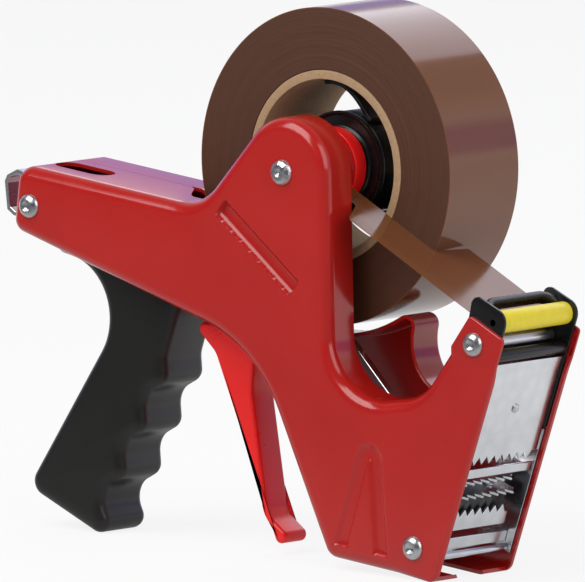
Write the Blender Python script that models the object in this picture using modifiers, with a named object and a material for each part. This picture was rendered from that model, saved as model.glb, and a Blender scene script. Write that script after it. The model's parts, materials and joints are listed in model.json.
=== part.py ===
# Hand-held packing tape dispenser: two pressed steel side shells carry a tape hub,
# a pistol grip, a trigger and a toothed cutting head with a guide roller.
# The model is drawn level, with the hub axle at the origin of the stance empty:
# X forward along the arm, Y from the near shell to the far shell, Z up.
import math

import bmesh
import bpy
from mathutils import Vector

# Driving sizes, in metres
TAPE_WIDTH = 0.0475
HEAD_MARGIN = 0.00375
BODY_WIDTH = TAPE_WIDTH + HEAD_MARGIN * 2
SHEET = 0.0016
GAP = 0.0003
OVERRUN = 0.004
MERGE = 0.00001

# Side shells: outline
TAIL_REACH = 0.1485
ARM_TOP = -0.0240
ARM_BOTTOM_AT_TAIL = -0.0540
TAIL_ROUND = 0.0080
TAIL_FOOT_ROUND = 0.0065
FLANK_X = -0.0586
FLANK_ROUND = 0.0250
HUMP_ROUND = 0.0238
NOTCH_REAR_X = 0.0600
NOTCH_FRONT_X = 0.0700
NOTCH_Z = -0.0625
NOTCH_REAR_ROUND = 0.0270
NOTCH_FRONT_ROUND = 0.0245
TOWER_REAR_X = 0.1085
TOWER_REAR_Z = -0.0430
TOWER_FRONT_X = 0.1290
TOWER_FRONT_Z = -0.0490
TOWER_ROUND = 0.0022
FRONT_FOOT_X = 0.1046
FRONT_FOOT_Z = -0.1580
BOTTOM_Z = -0.1625
FOOT_ROUND = 0.0050
HEEL_X = 0.0465
HEEL_ROUND = 0.0070
BELLY_X = -0.0505
BELLY_Z = -0.1407
BELLY_ROUND = 0.0680
FAR_ARC_ROUND = 0.0735
FAR_ARC_CORNER = 0.0050
FAR_NOTCH_X = 0.0740
FAR_NOTCH_Z = -0.0660
FAR_NOTCH_ROUND = 0.0220

# Side shells: section
NEAR_FILLET = 0.0060
FAR_FILLET = 0.0025
RIM_FILLET = 0.0018
RIM_DEPTH = 0.0030
FLANGE = 0.0184
ARM_FLANGE = 0.0363
ARM_SEAM_X = -0.0760
ARM_OPEN_X = -0.0640
FILLET_FADE = 0.0200
RIM_FADE_TOP = 0.0150
RIM_FADE_FOOT = 0.0320
RIM_FADE_TIP = 0.0200
OUTLINE_STEP = 0.0140

# Pressed shapes and openings in the shells
PRESS_DEPTH = 0.0008
GROOVE_REAR_X = -0.0320
GROOVE_REAR_Z = -0.0215
GROOVE_FRONT_X = 0.0120
GROOVE_FRONT_Z = -0.0490
GROOVE_WIDTH = 0.0086
RIB_FOOT_X = 0.0620
RIB_WIDTH = 0.0265
RIB_HEIGHT = 0.0470
RIB_BAND = 0.0060
SLOT_CENTRE_X = -0.1270
SLOT_CENTRE_Y = 0.0225
SLOT_LENGTH = 0.0300
SLOT_WIDTH = 0.0140

# Rivets
RIVET_HEAD = 0.0053
RIVET_RISE = 0.0026
RIVET_DIMPLE = 0.0009
RIVET_SHANK = 0.0025
SPACER_ROUND = 0.0045
DOME_SHARES = ((1.0, 0.0), (0.9, 0.5), (0.62, 0.92), (0.35, 1.0))
TAIL_RIVET_X = -0.1384
TAIL_RIVET_Z = -0.0408
UPPER_RIVET_X = 0.1133
UPPER_RIVET_Z = -0.0548
LOWER_RIVET_X = 0.0907
LOWER_RIVET_Z = -0.1491

# Hub, from the near shell outwards
AXLE_ROUND = 0.0040
AXLE_HEAD = 0.0056
SLEEVE_ROUND = 0.0085
ROLL_NEAR_Y = 0.0300
KNOB_LENGTH = 0.0075
KNOB_ROUND = 0.0170
WASHER_ROUND = 0.0120
WASHER_THICK = 0.0012
HUB_FLANGE_ROUND = 0.0235
HUB_FLANGE_THICK = 0.0028
DRUM_ROUND = 0.0230
DRUM_WALL = 0.0025
DRUM_WEB = 0.0030
HUB_BORE_ROUND = 0.0065
CAP_ROUND = 0.0245
CAP_THICK = 0.0030
NUT_ROUND = 0.0070
NUT_THICK = 0.0042
AXLE_TAIL = 0.0012
FIN_COUNT = 3
FIN_THICK = 0.0022
FIN_LENGTH = 0.0300
FIN_SWEEP = math.radians(54.43)
FIN_STEPS = 8

# Tape
CORE_BORE_ROUND = 0.0381
CORE_WALL = 0.0040
ROLL_ROUND = 0.0695
STRIP_THICK = 0.0005
STRIP_TAPER = 0.0090
STRIP_MEETS_ROLLER = math.radians(22)

# Cutting head, measured in the plane of the front edges
LINER_THICK = 0.0015
LINER_SETBACK = 0.0019
LINER_FOOT = 0.0490
LINER_FOOT_DEPTH = 0.0100
LINER_FOOT_ROUND = 0.0020
ROLLER_BACK = 0.0084
ROLLER_UP = 0.0034
ROLLER_ROUND = 0.0050
ROLLER_PIN_ROUND = 0.0015
GUARD_BACK = 0.0185
GUARD_UP = 0.0071
GUARD_ROUND = 0.0030
GUARD_CHEEK = 0.0038
GUIDE_BACK = 0.0046
GUIDE_DOWN = 0.0112
GUIDE_ROUND = 0.0028
PLATE_THICK = 0.0012
PLATE_BACK = 0.0028
PLATE_TOP = 0.0146
PLATE_TEETH = 0.0625
FRAME_FOOT = 0.1080
FRAME_DEPTH = 0.0185
TOOTH_COUNT = 8
TOOTH_PITCH = 0.0052
TOOTH_HEIGHT = 0.0036
BUTTON_ROUND = 0.0021
BUTTON_RISE = 0.0009
BUTTON_DOWN = 0.0370
COVER_TOP = 0.0645
COVER_EDGE = 0.0688
COVER_DEPTH = 0.0150
HOLDER_TOP = 0.0722
HOLDER_FOOT = 0.0905
HOLDER_DEPTH = 0.0160
HOLDER_BACK = 0.0042
HOLDER_MARGIN = 0.0055
BLADE_DOWN = 0.0775
BLADE_THICK = 0.0010
BLADE_BACK = 0.0016
CLAMP_DROP = 0.0040
CLAMP_HEIGHT = 0.0095
CLAMP_FOOT = HOLDER_FOOT + CLAMP_DROP
CLAMP_TOP = CLAMP_FOOT - CLAMP_HEIGHT
LOWER_TOP = 0.0985
LOWER_FOOT = 0.1040
LOWER_BACK = 0.0060
ROD_DOWN = 0.1062
ROD_BACK = 0.0052
ROD_ROUND = 0.0016
SCREW_ROUND = 0.0016
SCREW_HEAD = 0.0026
SCREW_RISE = 0.0012

# Pistol grip
GRIP_NEAR_Y = 0.0120
GRIP_THICK = 0.0310
GRIP_FILLET = 0.0050
GRIP_REACH = 0.1340
GRIP_FOOT_Z = -0.1800
GRIP_TOE_X = -0.0963
GRIP_TOE_ROUND = 0.0055
GRIP_HEEL_Z = -0.1630
GRIP_HEEL_ROUND = 0.0070
GRIP_NECK_X = -0.0620
GRIP_NECK_Z = -0.0720
GRIP_HORN_Z = -0.0555
GRIP_SLOPE = math.radians(21.8)
FINGER_COUNT = 4
KNUCKLE_TOP_X = -0.0660
KNUCKLE_TOP_Z = -0.1064
KNUCKLE_PITCH = 0.0245
KNUCKLE_ROUND = 0.0060
HOLLOW_ROUND = 0.0095
HOLLOW_DEPTH = 0.0050
WEB_X = -0.1260
WEB_Z = -0.0880
WEB_ROUND = 0.0260
CLAMP_PLATE_LENGTH = 0.0440
CLAMP_PLATE_WIDTH = 0.0200
CLAMP_PLATE_THICK = 0.0025
CLAMP_PLATE_X = -0.0845
GRIP_SCREW_ROUND = 0.0020
GRIP_SCREW_HEAD = 0.0036
GRIP_SCREW_RISE = 0.0022
GRIP_SCREW_DEPTH = 0.0150
GRIP_SCREW_SPREAD = 0.0180

# Trigger and its linkage
TRIGGER_NEAR_Y = 0.0200
TRIGGER_WIDTH = 0.0160
TRIGGER_FILLET = 0.0025
TRIGGER_REACH = 0.0550
TRIGGER_FOOT_Z = -0.1665
PIVOT_X = -0.0160
PIVOT_Z = -0.0720
PIVOT_ROUND = 0.0020
LEVER_THICK = 0.0092
LEVER_INSET = 0.0010
LEVER_BOSS = 0.0065
LEVER_TIP_X = -0.0140
LEVER_TIP_Z = -0.0500
LEVER_TIP_ROUND = 0.0040
LEVER_ROOT_SHARES = (-0.600, 0.540, 0.100)
LINK_WIDTH = 0.0080
LINK_THICK = 0.0040
LINK_END_Z = -0.0500
TRAVEL_GAP = 0.0003
SPRING_WIRE = 0.0006
SPRING_ROUND = 0.0046
SPRING_TURNS = 5
SPRING_PITCH = 0.0021

# Hanging strap at the tail
STRAP_WIDTH = 0.0200
STRAP_THICK = 0.0020
STRAP_NEAR_Y = 0.0080
STRAP_REACH = 0.0115
STRAP_TOP_Z = -0.0290
STRAP_FOOT_Z = -0.0475

# Smoothness of round stretches
ARC_STEP = math.radians(20)
FILLET_STEPS = 2
BIG_SEGMENTS = 48
SMALL_SEGMENTS = 14


def clear_scene():
    for old in list(bpy.data.objects):
        bpy.data.objects.remove(old, do_unlink=True)


def new_collection(name):
    group = bpy.data.collections.new(name)
    bpy.context.scene.collection.children.link(group)
    return group


def new_material(name, colour, roughness, metallic):
    finish = bpy.data.materials.new(name)
    finish.use_nodes = True
    shader = finish.node_tree.nodes["Principled BSDF"]
    shader.inputs["Base Color"].default_value = (*colour, 1.0)
    shader.inputs["Roughness"].default_value = roughness
    shader.inputs["Metallic"].default_value = metallic
    finish.diffuse_color = (*colour, 1.0)
    return finish


clear_scene()
PARTS = new_collection("packing_tape_dispenser")
CUTTERS = new_collection("cutters")
STANCE = bpy.data.objects.new("stance", None)
FRONT = bpy.data.objects.new("front_plane", None)
PARTS.objects.link(STANCE)
PARTS.objects.link(FRONT)
FRONT.parent = STANCE
FRONT_LEAN = math.atan2(TOWER_FRONT_X - FRONT_FOOT_X, TOWER_FRONT_Z - FRONT_FOOT_Z)
FRONT.location = (TOWER_FRONT_X, 0, TOWER_FRONT_Z)
FRONT.rotation_euler = (0, FRONT_LEAN, 0)
FORWARD = Vector((math.cos(FRONT_LEAN), -math.sin(FRONT_LEAN)))
UPWARD = Vector((math.sin(FRONT_LEAN), math.cos(FRONT_LEAN)))
TOWER_TIP = Vector((TOWER_FRONT_X, TOWER_FRONT_Z))

RED_PAINT = new_material("red_paint", (0.44, 0.025, 0.02), 0.25, 0.0)
RED_PLASTIC = new_material("red_plastic", (0.80, 0.02, 0.02), 0.35, 0.0)
BLACK_PLASTIC = new_material("black_plastic", (0.012, 0.012, 0.012), 0.4, 0.0)
ZINC = new_material("zinc_steel", (0.75, 0.76, 0.78), 0.25, 1.0)
BLADE_STEEL = new_material("blade_steel", (0.85, 0.86, 0.88), 0.15, 1.0)
YELLOW_RUBBER = new_material("yellow_rubber", (0.80, 0.65, 0.03), 0.5, 0.0)
CARD = new_material("tape_core_card", (0.40, 0.24, 0.13), 0.9, 0.0)
TAPE = new_material("brown_tape", (0.16, 0.06, 0.025), 0.25, 0.0)


def clamped(value):
    return min(1.0, max(0.0, value))


def between(start, end, share):
    return start + (end - start) * clamped(share)


def in_front_plane(point):
    offset = Vector(point) - TOWER_TIP
    return offset.dot(FORWARD), offset.dot(UPWARD)


def from_front_plane(back, up):
    return TOWER_TIP + FORWARD * back + UPWARD * up


def belt(circles, longest=OUTLINE_STEP):
    # The outline that a belt takes round circles, counter-clockwise. A circle is
    # x, z, radius and +1 where the belt turns left round it or -1 where it turns right.
    # Each outline point comes with its outward normal.
    count = len(circles)
    runs = []
    for index in range(count):
        ax, az, ar, at = circles[index]
        bx, bz, br, bt = circles[(index + 1) % count]
        step = Vector((bx - ax, bz - az))
        side = bt * br - at * ar
        straight = math.sqrt(max(step.length_squared - side * side, 0.0))
        angle = math.atan2(step.y, step.x) - math.atan2(side, straight)
        runs.append((angle, straight))
    outline = []
    for index in range(count):
        x, z, radius, turn = circles[index]
        arriving = runs[index - 1][0]
        leaving, straight = runs[index]
        swing = (leaving - arriving + math.pi) % (2 * math.pi) - math.pi
        if swing * turn < 0 and abs(swing) > math.pi / 2:
            swing += turn * 2 * math.pi
        steps = max(1, math.ceil(abs(swing) / ARC_STEP))
        for number in range(steps + 1):
            heading = arriving + swing * number / steps
            out = Vector((math.sin(heading), -math.cos(heading)))
            outline.append((Vector((x, z)) + out * turn * radius, out))
        pieces = max(1, math.ceil(straight / longest))
        start, out = outline[-1]
        along = Vector((math.cos(leaving), math.sin(leaving)))
        for number in range(1, pieces):
            outline.append((start + along * straight * number / pieces, out))
    tidy = []
    for point, out in outline:
        if not tidy or (point - tidy[-1][0]).length > MERGE * 5:
            tidy.append((point, out))
    if (tidy[0][0] - tidy[-1][0]).length < MERGE * 5:
        tidy.pop()
    return tidy


def mesh_object(name, bm, finish, parent=STANCE, group=PARTS):
    bmesh.ops.recalc_face_normals(bm, faces=bm.faces)
    mesh = bpy.data.meshes.new(name)
    bm.to_mesh(mesh)
    bm.free()
    piece = bpy.data.objects.new(name, mesh)
    piece.parent = parent
    group.objects.link(piece)
    if finish:
        mesh.materials.append(finish)
        mesh.shade_smooth()
        mesh.set_sharp_from_angle(angle=math.radians(32))
    return piece


def bridge_rings(bm, rings):
    for lower, upper in zip(rings, rings[1:]):
        count = len(lower)
        for index in range(count):
            after = (index + 1) % count
            bm.faces.new((lower[index], lower[after], upper[after], upper[index]))


def ring_of(bm, outline, insets, depths):
    return [bm.verts.new((p.x - n.x * i, d, p.y - n.y * i)) for (p, n), i, d in zip(outline, insets, depths)]


def rounded_slab(name, circles, near_y, thick, fillet, finish, parent=STANCE):
    # A thick plate with the belt's outline and round edges on both faces
    outline = belt(circles)
    count = len(outline)
    bm = bmesh.new()
    rings = []
    quarter = [math.pi / 2 * step / FILLET_STEPS for step in range(FILLET_STEPS + 1)]
    for turn in quarter:
        inset = fillet * (1 - math.sin(turn))
        depth = near_y + fillet * (1 - math.cos(turn))
        rings.append(ring_of(bm, outline, [inset] * count, [depth] * count))
    for turn in reversed(quarter):
        inset = fillet * (1 - math.sin(turn))
        depth = near_y + thick - fillet * (1 - math.cos(turn))
        rings.append(ring_of(bm, outline, [inset] * count, [depth] * count))
    bridge_rings(bm, rings)
    bm.faces.new(rings[0])
    bm.faces.new(rings[-1])
    return mesh_object(name, bm, finish, parent)


def flat_slab(name, points, near_y, thick, finish, parent=STANCE, group=PARTS):
    # A plate of one outline in X and Z, given its thickness along Y
    bm = bmesh.new()
    face = bm.faces.new([bm.verts.new((x, near_y, z)) for x, z in points])
    grown = bmesh.ops.extrude_face_region(bm, geom=[face])
    moved = [item for item in grown["geom"] if isinstance(item, bmesh.types.BMVert)]
    bmesh.ops.translate(bm, vec=(0, thick, 0), verts=moved)
    return mesh_object(name, bm, finish, parent, group)


def upright_plate(name, points, back_x, thick, finish, parent=FRONT, group=PARTS):
    # A plate of one outline in Y and Z, whose front face stands at back_x
    bm = bmesh.new()
    face = bm.faces.new([bm.verts.new((back_x, y, z)) for y, z in points])
    grown = bmesh.ops.extrude_face_region(bm, geom=[face])
    moved = [item for item in grown["geom"] if isinstance(item, bmesh.types.BMVert)]
    bmesh.ops.translate(bm, vec=(-thick, 0, 0), verts=moved)
    return mesh_object(name, bm, finish, parent, group)


def level_plate(name, points, top_z, thick, finish, parent=FRONT, group=PARTS):
    # A plate of one outline in X and Y, whose upper face lies at top_z
    bm = bmesh.new()
    face = bm.faces.new([bm.verts.new((x, y, top_z)) for x, y in points])
    grown = bmesh.ops.extrude_face_region(bm, geom=[face])
    moved = [item for item in grown["geom"] if isinstance(item, bmesh.types.BMVert)]
    bmesh.ops.translate(bm, vec=(0, 0, -thick), verts=moved)
    return mesh_object(name, bm, finish, parent, group)


def block(name, low, high, finish, parent=STANCE, group=PARTS):
    bm = bmesh.new()
    bmesh.ops.create_cube(bm, size=1.0)
    low, high = Vector(low), Vector(high)
    bmesh.ops.scale(bm, vec=high - low, verts=bm.verts)
    bmesh.ops.translate(bm, vec=(low + high) / 2, verts=bm.verts)
    return mesh_object(name, bm, finish, parent, group)


def turned(name, profile, finish, place=(0, 0), parent=STANCE, steps=SMALL_SEGMENTS, group=PARTS):
    # A turned piece about an axis along Y. The profile lists radius and Y, and runs
    # down the outer side from the far end to the near end. Without a bore it starts
    # and ends on the axis; with one it is closed.
    bm = bmesh.new()
    corners = [bm.verts.new((radius, 0, y)) for radius, y in profile]
    for one, other in zip(corners, corners[1:]):
        bm.edges.new((one, other))
    if profile[0][0] > 0:
        bm.edges.new((corners[-1], corners[0]))
    mesh = bpy.data.meshes.new(name)
    bm.to_mesh(mesh)
    bm.free()
    piece = bpy.data.objects.new(name, mesh)
    group.objects.link(piece)
    piece.parent = parent
    piece.location = (place[0], 0, place[1])
    piece.rotation_euler = (math.radians(-90), 0, 0)
    screw = piece.modifiers.new("turn", "SCREW")
    screw.axis = "Z"
    screw.angle = 2 * math.pi
    screw.steps = steps
    screw.render_steps = steps
    screw.use_merge_vertices = True
    screw.merge_threshold = MERGE
    screw.use_smooth_shade = True
    if finish:
        mesh.materials.append(finish)
    return piece


def rod(name, radius, near_y, far_y, finish, place, parent=STANCE, steps=SMALL_SEGMENTS, group=PARTS):
    profile = [(0, far_y), (radius, far_y), (radius, near_y), (0, near_y)]
    return turned(name, profile, finish, place, parent, steps, group)


def tube(name, outer, inner, near_y, far_y, finish, place=(0, 0), parent=STANCE, steps=SMALL_SEGMENTS):
    profile = [(outer, far_y), (outer, near_y), (inner, near_y), (inner, far_y)]
    return turned(name, profile, finish, place, parent, steps)


def hide_cutter(cutter):
    cutter.hide_render = True
    cutter.display_type = "WIRE"


def combine(piece, other, operation):
    step = piece.modifiers.new(other.name, "BOOLEAN")
    step.operation = operation
    step.solver = "EXACT"
    step.object = other
    hide_cutter(other)


def cut(piece, cutter):
    combine(piece, cutter, "DIFFERENCE")


def fuse(piece, other):
    combine(piece, other, "UNION")


def keep_moving_origin(piece, x, z):
    # Puts the piece's origin on its joint's axis and leaves its shape where it is
    for vertex in piece.data.vertices:
        vertex.co.x -= x
        vertex.co.z -= z
    piece.location = (x, 0, z)


def near_outline():
    tail_x = -TAIL_REACH
    return [
        (tail_x + TAIL_FOOT_ROUND, ARM_BOTTOM_AT_TAIL + TAIL_FOOT_ROUND, TAIL_FOOT_ROUND, 1),
        (BELLY_X, BELLY_Z, BELLY_ROUND, -1),
        (HEEL_X, BOTTOM_Z + HEEL_ROUND, HEEL_ROUND, 1),
        (FRONT_FOOT_X - FOOT_ROUND, BOTTOM_Z + FOOT_ROUND, FOOT_ROUND, 1),
        (TOWER_FRONT_X - TOWER_ROUND, TOWER_FRONT_Z - TOWER_ROUND, TOWER_ROUND, 1),
        (TOWER_REAR_X + TOWER_ROUND, TOWER_REAR_Z - TOWER_ROUND, TOWER_ROUND, 1),
        (NOTCH_FRONT_X, NOTCH_Z, NOTCH_FRONT_ROUND, -1),
        (NOTCH_REAR_X, NOTCH_Z, NOTCH_REAR_ROUND, -1),
        (0, 0, HUMP_ROUND, 1),
        (FLANK_X, ARM_TOP + FLANK_ROUND, FLANK_ROUND, -1),
        (tail_x + TAIL_ROUND, ARM_TOP - TAIL_ROUND, TAIL_ROUND, 1),
    ]


def far_outline():
    near = near_outline()
    arc_reach = FAR_ARC_ROUND + FAR_ARC_CORNER
    rear_z = ARM_TOP - FAR_ARC_CORNER
    rear_x = -math.sqrt(arc_reach * arc_reach - rear_z * rear_z)
    hub_to_notch = Vector((FAR_NOTCH_X, FAR_NOTCH_Z))
    reach = hub_to_notch.length
    notch_reach = FAR_NOTCH_ROUND + FAR_ARC_CORNER
    along = (arc_reach ** 2 - notch_reach ** 2 + reach ** 2) / (2 * reach)
    aside = math.sqrt(max(arc_reach ** 2 - along ** 2, 0.0))
    unit = hub_to_notch.normalized()
    corner = unit * along + Vector((unit.y, -unit.x)) * aside
    return near[:6] + [
        (FAR_NOTCH_X, FAR_NOTCH_Z, FAR_NOTCH_ROUND, -1),
        (corner.x, corner.y, FAR_ARC_CORNER, 1),
        (0, 0, FAR_ARC_ROUND, -1),
        (rear_x, rear_z, FAR_ARC_CORNER, 1),
        near[-1],
    ]


def wall_depth(point, arm_depth):
    # Deep flanges close the arm, shallow ones run round the body, a low rim runs
    # down the front edge, and the tower's top is a plain cut edge
    back, up = in_front_plane(point)
    depth = between(arm_depth, FLANGE, (point[0] - ARM_SEAM_X) / (ARM_OPEN_X - ARM_SEAM_X))
    if back > -RIM_DEPTH / 2:
        return between(RIM_DEPTH, SHEET, (up + RIM_FADE_TIP) / (RIM_FADE_TIP - RIM_FADE_TOP))
    if back > -FRAME_DEPTH - OVERRUN * 2:
        return between(depth, SHEET, (up + RIM_FADE_FOOT) / (RIM_FADE_FOOT - RIM_FADE_TOP))
    return depth


def edge_fillet(point, fillet, depth):
    # The edge is tight at the front, and never rounder than its wall is deep
    back, _ = in_front_plane(point)
    size = between(RIM_FILLET, fillet, (-back - RIM_DEPTH) / FILLET_FADE)
    return min(size, depth * 0.6)


def shell(name, circles, face_y, inward, fillet, arm_depth):
    # One pressed side: a flat face, a round edge and walls towards the other side
    outline = belt(circles)
    depths = [wall_depth(point, arm_depth) for point, _ in outline]
    fillets = [edge_fillet(point, fillet, depth) for (point, _), depth in zip(outline, depths)]
    bm = bmesh.new()
    rings = []
    for step in range(FILLET_STEPS + 2):
        turn = math.pi / 2 * step / (FILLET_STEPS + 1)
        insets = [size * (1 - math.sin(turn)) for size in fillets]
        levels = [face_y + inward * size * (1 - math.cos(turn)) for size in fillets]
        rings.append(ring_of(bm, outline, insets, levels))
    rings.append(ring_of(bm, outline, [0] * len(outline), [face_y + inward * d for d in depths]))
    bridge_rings(bm, rings)
    bm.faces.new(rings[0])
    piece = mesh_object(name, bm, RED_PAINT)
    if piece.data.polygons[-1].normal.y * inward > 0:
        piece.data.flip_normals()
    wall = piece.modifiers.new("sheet", "SOLIDIFY")
    wall.thickness = SHEET
    wall.offset = -1
    wall.use_even_offset = True
    return piece


def cylinder_cutter(name, radius, near_y, far_y, place, parent=STANCE):
    return rod(name, radius, near_y, far_y, None, place, parent, SMALL_SEGMENTS, CUTTERS)


def obround(length, width):
    # A slot's outline: two half circles joined by straight sides
    half = width / 2
    reach = length / 2 - half
    return belt([(reach, 0, half, 1), (-reach, 0, half, 1)])


def press_groove(near):
    # An oblique groove with square ends across the face under the hump
    start = Vector((GROOVE_REAR_X, GROOVE_REAR_Z))
    end = Vector((GROOVE_FRONT_X, GROOVE_FRONT_Z))
    along = (end - start).normalized()
    aside = Vector((-along.y, along.x)) * GROOVE_WIDTH / 2
    points = [start - aside, end - aside, end + aside, start + aside]
    tool = flat_slab("groove_press", points, PRESS_DEPTH - OVERRUN, OVERRUN, None, group=CUTTERS)
    cut(near, tool)


def press_rib(near):
    # A narrow arch pressed into the lower front of the face
    foot_z = BOTTOM_Z + NEAR_FILLET
    half = RIB_WIDTH / 2
    top = foot_z + RIB_HEIGHT
    outer = belt([
        (RIB_FOOT_X - half, foot_z, RIB_BAND / 2, 1),
        (RIB_FOOT_X + half, foot_z, RIB_BAND / 2, 1),
        (RIB_FOOT_X, top - half / 2, half / 2, 1),
    ])
    inner = belt([
        (RIB_FOOT_X - half + RIB_BAND, foot_z, RIB_BAND / 2, 1),
        (RIB_FOOT_X + half - RIB_BAND, foot_z, RIB_BAND / 2, 1),
        (RIB_FOOT_X, top - half / 2 - RIB_BAND, half / 5, 1),
    ])
    tool = flat_slab("rib_press", [p for p, _ in outer], PRESS_DEPTH - OVERRUN, OVERRUN, None, group=CUTTERS)
    core = flat_slab("rib_island", [p for p, _ in inner], -OVERRUN * 2, OVERRUN * 3, None, group=CUTTERS)
    cut(tool, core)
    cut(near, tool)


def build_shells():
    near = shell("near_side_shell", near_outline(), 0, 1, NEAR_FILLET, ARM_FLANGE)
    far = shell("far_side_shell", far_outline(), BODY_WIDTH, -1, FAR_FILLET, FLANGE)
    holes = (
        ("tail_hole", TAIL_RIVET_X, TAIL_RIVET_Z),
        ("upper_hole", UPPER_RIVET_X, UPPER_RIVET_Z),
        ("lower_hole", LOWER_RIVET_X, LOWER_RIVET_Z),
    )
    for name, x, z in holes:
        hole = cylinder_cutter(name, RIVET_SHANK + GAP, -OVERRUN, BODY_WIDTH + OVERRUN, (x, z))
        cut(near, hole)
        cut(far, hole)
    cut(near, cylinder_cutter("axle_hole", AXLE_ROUND + GAP, -OVERRUN, OVERRUN, (0, 0)))
    press_groove(near)
    press_rib(near)
    slot_points = [(p.x + SLOT_CENTRE_X, p.y + SLOT_CENTRE_Y) for p, _ in obround(SLOT_LENGTH, SLOT_WIDTH)]
    slot_top = ARM_TOP + OVERRUN
    slot = level_plate("arm_slot", slot_points, slot_top, OVERRUN * 2, None, STANCE, CUTTERS)
    cut(near, slot)
    for index, z in enumerate((STRAP_TOP_Z, STRAP_FOOT_Z)):
        low = (-TAIL_REACH - OVERRUN, STRAP_NEAR_Y - GAP, z - STRAP_THICK / 2 - GAP)
        high = (-TAIL_REACH + OVERRUN, STRAP_NEAR_Y + STRAP_WIDTH + GAP, z + STRAP_THICK / 2 + GAP)
        cut(near, block(f"strap_slit_{index + 1}", low, high, None, STANCE, CUTTERS))
    for index, screw_x in enumerate(grip_screw_places()):
        hole = upright_cutter(f"grip_screw_hole_{index + 1}", GRIP_SCREW_ROUND + GAP, screw_x)
        cut(near, hole)


def arm_floor(x):
    # Height of the arm's underside, on the straight run from the tail to the belly
    outline = belt(near_outline(), TAIL_REACH)
    start, end = None, None
    for (one, _), (other, _) in zip(outline, outline[1:]):
        if one.x < -FAR_ARC_ROUND and other.x > one.x and one.y < ARM_TOP - TAIL_ROUND * 2:
            if one.x <= x <= other.x:
                start, end = one, other
    return start.y + (end.y - start.y) * (x - start.x) / (end.x - start.x)


def grip_screw_places():
    return (CLAMP_PLATE_X - GRIP_SCREW_SPREAD / 2, CLAMP_PLATE_X + GRIP_SCREW_SPREAD / 2)


def grip_mid_y():
    return GRIP_NEAR_Y + GRIP_THICK / 2


def upright_cutter(name, radius, x):
    bm = bmesh.new()
    bmesh.ops.create_cone(
        bm, cap_ends=True, segments=SMALL_SEGMENTS, radius1=radius, radius2=radius, depth=OVERRUN * 4
    )
    tool = mesh_object(name, bm, None, STANCE, CUTTERS)
    tool.location = (x, grip_mid_y(), arm_floor(x))
    return tool


def dome(face_y, outward, head):
    # The profile of a dimpled dome, from its rim to the axis
    points = [(head * across, face_y + outward * RIVET_RISE * up) for across, up in DOME_SHARES]
    return points + [(0, face_y + outward * (RIVET_RISE - RIVET_DIMPLE))]


def rivet(name, place, near_y, far_y, shank, head):
    # A through rivet with a dimpled dome at both ends
    far_end = dome(far_y, 1, head)
    profile = far_end[::-1] + [(shank, far_y), (shank, near_y)] + dome(near_y, -1, head)
    return turned(name, profile, ZINC, place)


def build_rivets():
    near_y, far_y = -GAP, BODY_WIDTH + GAP
    places = (
        ("tail_rivet", TAIL_RIVET_X, TAIL_RIVET_Z),
        ("upper_rivet", UPPER_RIVET_X, UPPER_RIVET_Z),
        ("lower_rivet", LOWER_RIVET_X, LOWER_RIVET_Z),
    )
    for name, x, z in places:
        rivet(name, (x, z), near_y, far_y, RIVET_SHANK, RIVET_HEAD)
    inner = SHEET + GAP
    bore = RIVET_SHANK + GAP
    for name, x, z in (places[0], places[2]):
        label = name.replace("rivet", "spacer")
        tube(label, SPACER_ROUND, bore, inner, BODY_WIDTH - inner, ZINC, (x, z))


def hub_stations():
    # Places along the axle, from the knob to the nut
    knob_near = ROLL_NEAR_Y + GAP
    knob_far = knob_near + KNOB_LENGTH
    flange_near = knob_far + WASHER_THICK + GAP * 2
    drum_near = flange_near + HUB_FLANGE_THICK + GAP
    cap_far = ROLL_NEAR_Y + TAPE_WIDTH - GAP
    drum_far = cap_far - CAP_THICK - GAP
    return knob_near, knob_far, flange_near, drum_near, drum_far, cap_far


def build_axle_and_knob():
    knob_near, knob_far, flange_near, _, _, cap_far = hub_stations()
    axle_far = cap_far + GAP + NUT_THICK + AXLE_TAIL
    head_y = -GAP
    profile = [
        (0, axle_far),
        (AXLE_ROUND, axle_far),
        (AXLE_ROUND, head_y),
    ] + dome(head_y, -1, AXLE_HEAD)
    turned("hub_axle", profile, ZINC)
    bore = AXLE_ROUND + GAP
    tube("axle_sleeve", SLEEVE_ROUND, bore, SHEET + GAP, ROLL_NEAR_Y, ZINC)
    lip = KNOB_LENGTH / 5
    profile = [
        (KNOB_ROUND - lip / 2, knob_far),
        (KNOB_ROUND, knob_far - lip / 2),
        (KNOB_ROUND, knob_near + lip / 2),
        (KNOB_ROUND - lip / 2, knob_near),
        (KNOB_ROUND - lip * 2, knob_near),
        (KNOB_ROUND - lip * 2.5, knob_near + lip),
        (SLEEVE_ROUND, knob_near + lip),
        (SLEEVE_ROUND, knob_near),
        (bore, knob_near),
        (bore, knob_far),
    ]
    turned("tension_knob", profile, RED_PLASTIC, steps=BIG_SEGMENTS // 2)
    washer_near = knob_far + GAP
    tube("brake_washer", WASHER_ROUND, bore, washer_near, washer_near + WASHER_THICK, ZINC)
    nut = rod("axle_nut", NUT_ROUND, cap_far + GAP, cap_far + GAP + NUT_THICK, ZINC, (0, 0), steps=6)
    cut(nut, cylinder_cutter("nut_bore", bore, cap_far, cap_far + NUT_THICK + OVERRUN, (0, 0)))


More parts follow.
